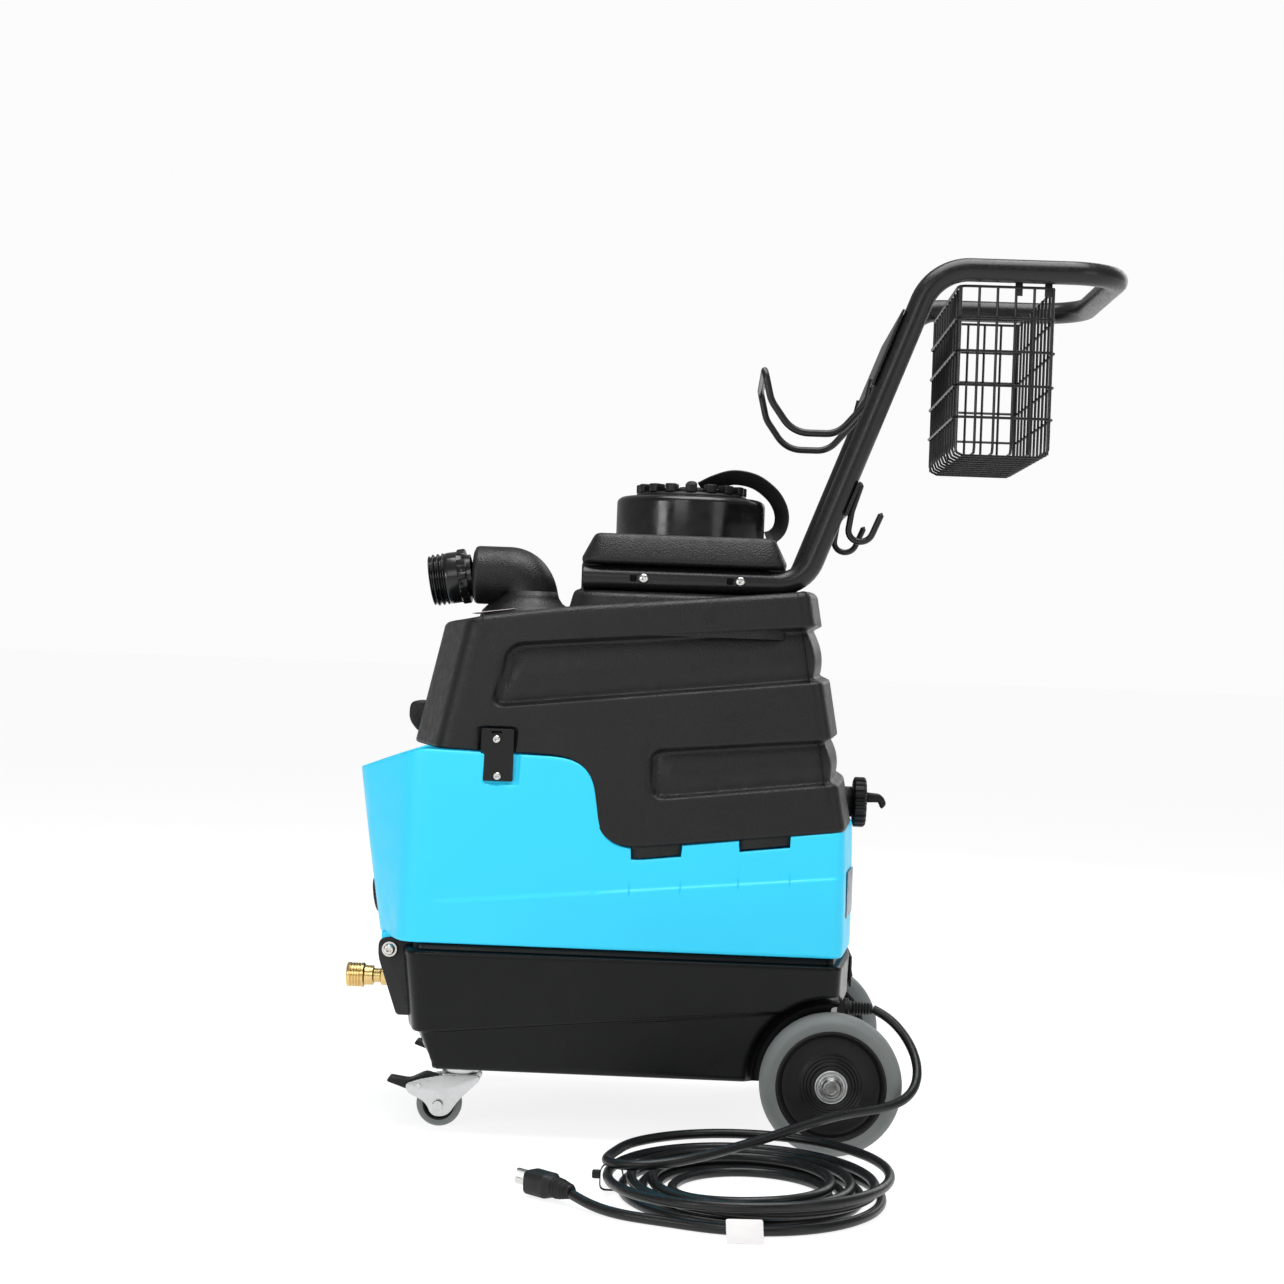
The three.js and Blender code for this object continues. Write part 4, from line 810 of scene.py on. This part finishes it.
def lidPieces():
    x, z = lid["x"], lid["base"]
    ring = roundCorners([(64.4, 0.2), (84.2, 0.2, 1.2), (85, 1.4, 1), (85, 44, 4), (79, 48, 3), (66, 48.4, 1),
                         (64.4, 47)], 5)
    makePiece("lid_ring_turned", [turned(closeRing(ring), (x, 0, z), "z", 128)], "tank_assembly", "gloss",
              ("lid_ring",))
    disc = roundCorners([(0, 30), (60, 30, 1), (60, 4.2, 0.6), (63.8, 4.2, 0.6), (63.8, 50.5, 1.6), (61.6, 53, 1),
                         (47, 53.2, 0.8), (46, 58, 1.4), (43.6, 58, 1.4), (42.6, 54, 1), (14, 53.4, 2), (11.5, 57, 1),
                         (9, 58, 1), (6.4, 59, 1), (6.4, 67, 1.6), (3, 69, 1), (0, 69)], 4, closed=False)
    halfTurn = math.radians(lid["toothTurn"])
    sector = [(46 * math.cos(halfTurn * 0.8), -46 * math.sin(halfTurn * 0.8), 1),
              (62.5 * math.cos(halfTurn), -62.5 * math.sin(halfTurn), 3), (63.6, 0, 2),
              (62.5 * math.cos(halfTurn), 62.5 * math.sin(halfTurn), 3),
              (46 * math.cos(halfTurn * 0.8), 46 * math.sin(halfTurn * 0.8), 1)]
    tooth = flatPlate(roundCorners(sector, 4), 52.4, 62.2, "z", 1.4)
    rib = flatPlate([(14, 53), (44, 53), (44, 57.4), (20, 57.4)], -1.5, 1.5, "y", 0.5)
    grids = [turned(disc, (x, 0, z), "z", 128)]
    for grid, count in ((tooth, lid["teeth"]), (rib, lid["ribs"])):
        grids += [turnAbout(grid, (0, 0, 0), (0, 0, 1), 360 / count * k) + np.array([x, 0, z]) for k in range(count)]
    makePiece("lid_cap_castellated", grids, "lid_cap", "moulded", ("lid_cap",))
    path = throughPoints([(x + 11, 0, 718.8), (x + 27, -2, 727), (x + 48, -4, 733), (x + 72, -6, 729),
                          (x + 91, -8, 716), (x + 101, -9, 702), (x + 104.5, -10, 688), (x + 102, -10, 675),
                          (x + 95, -10, 667), (x + 87.5, -10, 664)], 8)
    lean = math.radians(lid["strapTwist"])
    thin, half = lid["strapHalf"]
    flat = roundCorners([(-thin, -half, 1), (thin, -half, 1), (thin, half, 1), (-thin, half, 1)], 3)
    strap = flat @ np.array([[math.cos(lean), math.sin(lean)], [-math.sin(lean), math.cos(lean)]])
    eye = turned(closeRing(roundCorners([(7, 717.7, 0.8), (14, 717.7, 1), (14, 719.9, 1), (7, 719.9, 0.8)], 3)),
                 (x, 0, 0), "z", 48)
    foot = turned([(0, 658.2), (9, 658.2), (9, 661.6), (7.6, 663.4), (0, 664.2)], (x + 91, -10, 0), "z", 32)
    makePiece("lid_tether_strap", [swept(path, strap, (0, 1, 0)), eye, foot], "tank_assembly", "rubber",
              ("lid_tether",))


lidPieces()

# Inlet elbow with its flared foot, and the threaded hose connector

elbow = {"x": -233, "mouth": -295, "z": 611, "foot": 562, "radius": 33.4, "bend": 21, "inner": 19.5, "edge": 6,
         "bore": 24.6, "flare": 13, "connector": (-301.5, 0, 609.5), "connectorTurn": -100}


def elbowPieces():
    # a round section carried along the bend; its inner side is held off the centre of the bend, where the foot hides it
    e = elbow
    path = evenly(bentPath([(e["mouth"], 0, e["z"]), (e["x"], 0, e["z"], e["bend"]), (e["x"], 0, e["foot"])], 24), 2)
    along = np.concatenate([[0], np.cumsum(np.linalg.norm(np.diff(path, axis=0), axis=1))])
    angle = np.linspace(0, 2 * math.pi, 73)
    tangent = unit(np.gradient(path, axis=0))
    up = np.stack([-tangent[:, 2], 0 * along, tangent[:, 0]], -1)
    bendStart = e["x"] - e["bend"] - e["mouth"]
    roundOff = np.clip(1 - along / e["edge"], 0, 1)
    radius = e["radius"] - e["edge"] * (1 - np.sqrt(1 - roundOff ** 2))
    flare = e["flare"] * smoothStep((along - bendStart - 16) / (along[-1] - bendStart - 16)) ** 1.5
    held = e["radius"] + (e["inner"] - e["radius"]) * smoothStep((along - bendStart + 14) / 14)

    def section(size, limit, grow):
        lift = size[:, None] * np.sin(angle) + grow[:, None] * np.clip(np.sin(angle), 0, 1) ** 2
        lift = np.maximum(lift, -np.minimum(limit, size)[:, None])
        across = (size + grow * 0.4)[:, None] * np.cos(angle)
        return path[:, None] + np.array([0, 1, 0.0]) * across[..., None] + up[:, None] * lift[..., None]

    outer = section(radius, held, flare)
    bore = section(0 * along + e["bore"], held - 2, 0 * along)
    makePiece("inlet_elbow_moulded", [np.concatenate([outer, bore[::-1], outer[:1]])], "tank_assembly", "black",
              ("inlet_elbow",), sharp=50)

    thread = [(28.4 + 1.5 * math.sin(k * math.pi / 5), 25 + k * 0.56) for k in range(31)]
    shell = [(22, -5), (24.2, -5), (24.2, 0), (30.6, 0.2), (31.6, 1.2), (31.6, 8.6), (30.6, 9.6), (29.4, 10.2),
             (29.6, 20), (29.2, 23.6)]
    shell += thread + [(28.6, 42.2), (28, 43), (22.8, 43), (22, 42), (22, -5)]

    def collar(angles, r, h):  # flats round the collar near the elbow
        flat = 31.6 - 1.5 * smoothStep((np.abs(np.sin(angles * 6)) - 0.55) / 0.2)
        return np.where((h > 0.8) & (h < 9) & (r > 31), np.minimum(r, flat), r)

    connector = turnAbout(turned(shell, (0, 0, 0), "z", 144, collar), (0, 0, 0), (0, 1, 0), e["connectorTurn"])
    makePiece("hose_connector_threaded", [connector + np.array(e["connector"])], "hose_connector", "gloss",
              ("hose_connector",))


elbowPieces()

# Drain cap with its paddle, front knob

def ribbed(count, depth):  # the rim of a knob or cap waves in and out this many times
    return lambda angle, r, h: r - depth * smoothStep(0.5 - 0.9 * np.cos(count * angle)) * (r > 20)


drainRim = roundCorners([(0, 8.4), (24, 8.4, 1), (28.6, 10, 1.4), (28.6, 21.4, 1.6), (26, 23.6, 1), (0, 24)], 4, False)
paddle = flatPlate(roundCorners([(165, 377, 2), (183, 375.5, 5), (188, 365, 4), (182, 359, 2.4), (179, 367, 3),
                                 (165, 366.4)], 6), -12.5, 12.5, "y", 1.4)
makePiece("drain_cap_ribbed", [turned(drainRim, (141, 0, 366), "x", 240, ribbed(20, 2.2)), paddle], "drain_cap",
          "moulded", ("drain_cap",))
knobShape = roundCorners([(0, 0), (18, 0, 1), (24, 3, 1.5), (24, 11, 2.5), (19, 16.6, 2), (0, 18)], 5, False)
knobGrid = turnAbout(turned(knobShape, (0, 0, 0), "z", 200, ribbed(24, 0.9)), (0, 0, 0), (0, 1, 0), -98.8)
makePiece("front_knob_ribbed", [knobGrid + np.array([-379.3, 0, 241])], "tank_assembly", "moulded", ("front_knob",))
print("lid, elbow, drain and knob built")

# Handle, hooks and their plates

handle = {"radius": 12.7, "y": 157, "z": 609, "front": -160, "grip": 955.5, "rear": 412.3, "lean": 20.7,
          "footX": 77.5, "bolts": (-94.5, 10), "hookZ": 809.5}
leanTan = math.tan(math.radians(handle["lean"]))
legTop = handle["footX"] + (handle["grip"] - handle["z"]) * leanTan


def handlePieces():
    h = handle
    near = [(h["front"], -h["y"], h["z"]), (h["footX"], -h["y"], h["z"], 40), (legTop, -h["y"], h["grip"], 55),
            (h["rear"], -h["y"], h["grip"], 58)]
    corners = near + [(c[0], -c[1]) + c[2:] for c in near[::-1]]
    path = evenly(bentPath(corners, 20), 5)
    bar = tubeAlong(path, h["radius"], 32, hint=(-0.42, 0.52, 0.74))
    makePiece("handle_tube_bent", [bar], "tank_assembly", "coated", ("handle_tube",))
    # the dark plates in the slots are painted shade: thin near-black sheets on the tube's sides where the slot holes
    # would lie in shadow
    slots = []
    head = [(0, -6), (3.4, -6), (3.4, 0.2), (5.5, 0.3), (5.8, 1), (5.2, 2.6), (3.6, 3.8), (2.2, 4.2), (1.7, 2.6),
            (0, 2.4)]
    for name, side in sides:
        for place, x in zip(("front", "rear"), h["bolts"]):
            y = side * (h["y"] + h["radius"])
            grid = turned([(r, side * (t + 0.35)) for r, t in head], (x, y, h["z"]), "y", 40)
            makePiece(f"handle_bolt_{name}_{place}_turned", [grid], "tank_assembly", "steel",
                      (f"handle_bolt_{name}_{place}",))
            outline = roundCorners([(x - 15, h["z"] - 3.6, 2), (x - 7.5, h["z"] - 3.6, 1), (x - 7.5, h["z"] + 3.6, 1),
                                    (x - 15, h["z"] + 3.6, 2)])
            slots.append(flatPlate(outline, y - side * 2, y + side * 0.12, "y", 0.1))
    makePiece("handle_slots_painted_shade", slots, "tank_assembly", "shadow")


def leaning(grid):  # a piece made round the origin leans with the legs and moves to the hooks' height
    tilted = turnAbout(grid, (0, 0, 0), (0, 1, 0), handle["lean"])
    return tilted + np.array([handle["footX"] + (handle["hookZ"] - handle["z"]) * leanTan, 0, handle["hookZ"]])


def hookPieces():
    def slab(x0, x1, z0, z1):
        outline = roundCorners([(-166, z0, 3), (166, z0, 3), (166, z1, 3), (-166, z1, 3)])
        return leaning(flatPlate(outline, x0, x1, "x", 0.6))

    arm = [(147.8, -115, 838), (142, -115, 812, 16), (112, -115, 777, 30), (62, -115, 777, 34), (37, -115, 812, 30),
           (29, -115, 845, 9)]
    arm = arm + [(c[0], -c[1]) + c[2:] for c in arm[::-1]]
    route = evenly(bentPath(arm, 12), 4)
    makePiece("hose_hook_bent", [slab(-15.6, -13.1, 14, 102), tubeAlong(route, 4, 16, hint=(0.1, 0.93, 0.35))],
              "tank_assembly", "coated", ("hose_hook",))
    grids = [slab(13.1, 15.6, -128, -88)]
    for _, side in sides:
        hook = [(138, side * 150, 722), (128, side * 150, 690, 20), (124, side * 150, 662, 12),
                (146, side * 150, 654, 14), (161, side * 150, 690)]
        grids.append(tubeAlong(evenly(bentPath(hook, 12), 3), 3.5, 16, hint=(0, 1, 0), roundEnd=3.5))
    makePiece("cord_hooks_bent", grids, "tank_assembly", "coated", ("cord_hooks",))


handlePieces()
hookPieces()

# Basket of welded wire: hoops round it, bows under it and along it, uprights at its ends

basket = {"x": (237, 338), "half": 150, "bottom": 755.5, "top": 939, "wire": 1.55, "corner": 9,
          "hoops": (939, 905, 869, 832, 797), "bows": 11, "ends": 5}


def basketPiece():
    b = basket
    x0, x1 = b["x"]
    wires = []

    def line(corners, hint=(0.31, 0.57, 0.76)):
        wires.append(tubeAlong(evenly(bentPath(corners, 5), 7), b["wire"], 7, hint))

    for k, z in enumerate(b["hoops"]):
        r, d = b["corner"], 3.0 if k else 1.5
        line([(x0 - d, 0, z), (x0 - d, -b["half"] - d, z, r), (x1 + d, -b["half"] - d, z, r),
              (x1 + d, b["half"] + d, z, r), (x0 - d, b["half"] + d, z, r), (x0 - d, 0, z)])
    for y in np.linspace(-b["half"] + 2, b["half"] - 2, b["bows"]):
        line([(x0, y, b["top"]), (x0, y, b["bottom"], 9), (x1, y, b["bottom"], 9), (x1, y, b["top"])])
    for x in np.linspace(x0 + 1, x1 - 1, b["ends"] + 1)[1:-1]:
        z = b["bottom"] + 3.1
        line([(x, -b["half"], b["top"]), (x, -b["half"], z, 7), (x, b["half"], z, 7), (x, b["half"], b["top"])])
    for y in (-b["half"], b["half"]):
        for x in (x0 + 1, x1 - 1):
            line([(x, y, b["top"]), (x, y, b["bottom"] + 3)], (1, 0, 0))
    tabs = [flatPlate([(x - 4, z0), (x + 4, z0), (x + 4, 946), (x - 4, 946)], -152, -149.4, "y", 0.4)
            for x, z0 in ((300, 930), (332, 930))]
    makePiece("basket_wires", wires + tabs, "tank_assembly", "coated", ("basket",), weld=2e-6)


basketPiece()
print("handle, hooks and basket built")

# Wheels: dished hub with steps, grey tread, bearing ring and domed cap

wheel = {"x": 125, "y": 195, "z": 76.2, "rim": 59.5, "radius": 76}


def wheelPieces(name, side):
    w = wheel
    y = side * w["y"]

    def across(profile):  # a closed outline of (radius, distance from the wheel's middle), turned about the axle
        return turned([(r, side * t) for r, t in profile], (w["x"], y, w["z"]), "y", 128)

    tread = roundCorners([(w["rim"] - 0.5, -17.4), (w["rim"] + 2, -18.4, 1), (68, -19, 3), (w["radius"], -12, 7),
                          (w["radius"], 12, 7), (68, 19, 3), (w["rim"] + 2, 18.4, 1), (w["rim"] - 0.5, 17.4)], 8)
    makePiece(f"wheel_tyre_{name}_turned", [across(closeRing(tread))], f"wheel_{name}", "tyre",
              (f"wheel_tyre_{name}",))
    hub = roundCorners([(17.7, -18), (23, -18, 1), (25, -7, 2), (52, -7, 3), (56, -17, 1.5), (59, -17, 0.6),
                        (59, 17.6, 0.6), (56.6, 18.2, 1), (55.4, 16.4, 1.2), (54, 15, 1), (52.6, 8.4, 2.5), (46, 7, 3),
                        (34, 6.4, 2), (31.6, 8.2, 1), (29.6, 8.4, 0.8), (28.4, 10.2, 0.8), (26.4, 10.6, 0.6),
                        (25, 13, 0.8), (22.8, 13.4, 0.6), (21.6, 17.4, 0.8), (17.7, 18)], 4)
    makePiece(f"wheel_hub_{name}_turned", [across(closeRing(hub))], f"wheel_{name}", "moulded", (f"wheel_hub_{name}",))
    race = roundCorners([(10.4, -18.8), (17.4, -18.8, 0.6), (17.4, 18.8, 0.9), (15.8, 18.9, 0.5), (15.4, 17.2, 0.4),
                         (13.2, 17.2, 0.4), (12.9, 18.6, 0.4), (10.4, 18.6)], 3)
    makePiece(f"wheel_bearing_{name}_turned", [across(closeRing(race))], f"wheel_{name}", "zinc",
              (f"wheel_bearing_{name}",))
    cap = roundCorners([(0, 24.4), (12.6, 24.4, 0.4), (12.9, 26.2, 0.8), (10.6, 27.4, 1.2), (9.2, 30.2, 1.6),
                        (5.6, 31, 1), (4.4, 30, 0.6), (0, 29.8)], 4, False)
    makePiece(f"axle_cap_{name}_domed", [across(cap)], "base", "dull", (f"axle_cap_{name}",))


# Casters: pressed fork, swivel head with its dust ring, braked wheel and pedal

caster = {"x": -277, "wheelX": -300, "rivetX": -322, "y": 122, "radius": 25}


def casterPieces(name, side):
    c = caster
    x, wx, y, r = c["x"], c["wheelX"], side * c["y"], c["radius"]

    def oblong(back, front, half, radius):  # a rounded rectangle beside the swivel axis
        return roundCorners([(x + a, y + b, radius) for a, b in ((-back, -half), (front, -half), (front, half),
                                                                 (-back, half))])

    head = roundCorners([(0, 60.2), (15, 60.2, 1), (19, 61, 1), (21, 63.4, 1.4), (21, 67, 1), (17, 68.6, 1),
                         (0, 69)], 4, False)
    plate = flatPlate(oblong(28, 28, 22, 4), 68.7, 71.6, "z", 0.6)
    heads = [turned([(0, -1.6), (4.6, -1.6), (5.2, -1), (5.2, 0.4), (0, 0.4)], (x + dx, y + dy, 68.6), "z", 6)
             for dx in (-21, 21) for dy in (-15, 15)]
    makePiece(f"caster_plate_{name}_pressed", [plate, turned(head, (x, y, 0), "z", 48)] + heads, "base", "zinc",
              (f"caster_plate_{name}",))
    cheek = roundCorners([(wx - 37, 47, 5), (wx - 20, 53, 6), (wx + 4, 58, 8), (x + 21, 59.6, 3), (x + 23, 54, 6),
                          (wx + 22, 31, 12), (wx + 11, 13, 9), (wx - 7, 12, 9), (wx - 13, 27, 9), (wx - 35, 38, 6)], 6)
    fork = [flatPlate(cheek, y + s * 12.6, y + s * 15.4, "y", 0.8) for s in (-1, 1)]
    fork.append(flatPlate(oblong(20, 19, 15, 3), 55.6, 59.8, "z", 1.2))
    pin = [(0, -17.6), (3.6, -17.6), (4.6, -16.8), (4.8, -15.2), (4, -15), (4, 15), (5.6, 15.2), (6, 16), (6, 18),
           (5, 19), (0, 19)]
    rivet = [(0, -16.6), (2.9, -16.6), (3.2, -15.6), (3.2, 15.6), (2.9, 16.6), (0, 16.6)]
    fork.append(turned([(a, side * t) for a, t in pin], (wx, y, r), "y", 24))
    fork.append(turned(rivet, (c["rivetX"], y, 45), "y", 20))
    makePiece(f"caster_fork_{name}_pressed", fork, f"caster_{name}", "zinc", (f"caster_fork_{name}",))
    tread = roundCorners([(17.7, -9.4), (22, -9.8, 1), (24.9, -6, 3), (24.9, 6, 3), (22, 9.8, 1), (17.7, 9.4)], 5)
    hub = roundCorners([(4.4, -10), (7.5, -10, 0.6), (8.4, -6.4, 1), (14.6, -6.2, 1), (15.6, -9, 0.8), (17.6, -9.4),
                        (17.6, 9.4), (15.6, 9, 0.8), (14.6, 6.2, 1), (8.4, 6.4, 1), (7.5, 10, 0.6), (4.4, 10)], 3)
    place = (wx, y, r)
    makePiece(f"caster_tyre_{name}_turned", [turned(closeRing(tread), place, "y", 64)], f"caster_wheel_{name}", "tyre",
              (f"caster_tyre_{name}",))
    makePiece(f"caster_hub_{name}_turned", [turned(closeRing(hub), place, "y", 64)], f"caster_wheel_{name}", "moulded",
              (f"caster_hub_{name}",))
    easedCopy(f"brake_pedal_{name}", f"brake_pedal_{name}", "moulded", 0.9)


for sideName, sideSign in sides:
    wheelPieces(sideName, sideSign)
    casterPieces(sideName, sideSign)
print("wheels and casters built")

# Brass quick coupler: knurled sleeve on a stepped body

coupler = {"z": 144.5, "root": -350, "tip": -425}


def couplerPieces():
    c = coupler
    body = roundCorners([(0, 24), (8, 24), (8, -26), (10.4, -27, 0.6), (10.6, -35, 0.8), (8.1, -36.4, 0.5),
                         (8.1, -65.6, 0.6), (7, -66.2, 0.3), (5, -66), (5, -42), (0, -40)], 3, False)

    def hexagon(angle, r, h):  # six flats on the collar behind the sleeve
        flat = 8.9 / np.cos((angle + math.pi / 6) % (math.pi / 3) - math.pi / 6)
        return np.where((h < -27) & (h > -35) & (r > 9), np.minimum(r * 1.04, flat * 1.14), r)

    makePiece("coupler_body_turned", [turned(body, (c["root"], 0, c["z"]), "x", 96, hexagon)], "base", "brass",
              ("coupler_body",))
    ridges = []
    for k in range(3):
        ridges += [(13.1, 6 + k * 3.2), (13.9, 6.5 + k * 3.2), (13.9, 8.2 + k * 3.2), (13.1, 8.8 + k * 3.2)]
    sleeve = [(8.7, 0.4), (12.4, 0), (13.4, 0.5), (14.1, 1.4), (14.1, 4.6), (13.1, 5.4)] + ridges
    sleeve += [(13.1, 16), (14.1, 16.8), (14.1, 19.4), (13, 20.4), (11.6, 21), (11.3, 24), (11.3, 30.2), (10.6, 31),
               (8.7, 31), (8.7, 0.4)]
    makePiece("coupler_sleeve_turned", [turned(sleeve, (c["tip"], 0, c["z"]), "x", 96)], "coupler_sleeve", "brass",
              ("coupler_sleeve",))


couplerPieces()

# Hinge bolts, clip plates and their screws, brackets, switches

def screwHead(radius, height, socket, side):  # a low domed head with a hexagonal socket, turned from (radius, height)
    profile = roundCorners([(0, -3), (radius * 0.55, -3), (radius * 0.55, 0), (radius, 0.05, 0.4),
                            (radius, height * 0.5, 0.6), (radius * 0.8, height * 0.92, 0.8),
                            (socket + 0.5, height, 0.3), (socket, height - 0.1), (socket * 0.9, height * 0.35),
                            (0, height * 0.3)], 3, False)
    return [(r, side * h) for r, h in profile]


for sideName, sideSign in sides:
    face = sideSign * 199.5
    for level, (screwX, screwZ) in (("upper", (-244.5, 431)), ("lower", (-242.5, 391.5))):
        place = (screwX, face + sideSign * 0.35, screwZ)
        makePiece(f"clip_screw_{sideName}_{level}_domed", [turned(screwHead(4.3, 2.6, 1.8, sideSign), place, "y", 36)],
                  "tank_assembly", "steel", (f"clip_screw_{sideName}_{level}",))
    place = (-357, sideSign * 155.35, 196)
    washer = [(0, -17), (5, -17), (5, 0), (8.2, 0), (8.2, 0.9), (0, 0.9)]
    makePiece(f"hinge_bolt_{sideName}_domed", [turned(screwHead(6.3, 4.8, 3, sideSign), place, "y", 48),
                                               turned([(r, sideSign * h) for r, h in washer], place, "y", 48)],
              "base", "steel", (f"hinge_bolt_{sideName}",))
    arm = roundCorners([(-348, 124, 4), (-333, 124, 1), (-334, 209, 2), (-370, 209, 13), (-370, 187, 8)], 8)
    makePiece(f"hinge_bracket_{sideName}_plate", [flatPlate(arm, sideSign * 145, sideSign * 149.9, "y", 0.7)], "base",
              "coated", (f"hinge_bracket_{sideName}",))
    easedCopy(f"clip_plate_{sideName}", "tank_assembly", "moulded", 0.5)
easedCopy("switch_plate", "base", "coated", 0.5)
easedCopy("pump_rocker", "pump_rocker", "gloss", 0.6)
easedCopy("vacuum_rocker", "vacuum_rocker", "gloss", 0.6)
easedCopy("vacuum_motor", "base", "casting", 1.5)
easedCopy("water_pump", "base", "casting", 1.5)
easedCopy("float_valve", "tank_assembly", "moulded", 1)
easedCopy("rear_axle", "base", "zinc", 0.8)

# Blank label on the rear and blank sticker by the elbow

blanks = {"labelSize": (80, 50), "labelPlace": (141.8, -126, 250), "labelTurn": -7.3,
          "stickerX": (-284, -238), "stickerY": (-118, -60), "stickerRise": (564.4, -289, 0.14)}
wide, tall = blanks["labelSize"]
rearLabel = roundCorners([(-wide / 2, 0, 4), (wide / 2, 0, 4), (wide / 2, tall, 4), (-wide / 2, tall, 4)])
rearLabel = turnAbout(flatPlate(rearLabel, 0, 0.7, "x", 0.2), (0, 0, 0), (0, 0, 1), blanks["labelTurn"])
makePiece("rear_label_blank", [rearLabel + np.array(blanks["labelPlace"])], "tank_assembly", "label")
(left, right), (low, high) = blanks["stickerX"], blanks["stickerY"]
sticker = roundCorners([(left, low, 3), (right, low, 3), (right, high, 3), (left, high, 3)], 3)
sticker = flatPlate(sticker, 0, 0.8, "z", 0.2)
level, start, slope = blanks["stickerRise"]  # height at start, and rise per millimetre along X
sticker[..., 2] += level + (sticker[..., 0] - start) * slope
makePiece("sticker_blank", [sticker], "tank_assembly", "sticker")
print("small pieces built")
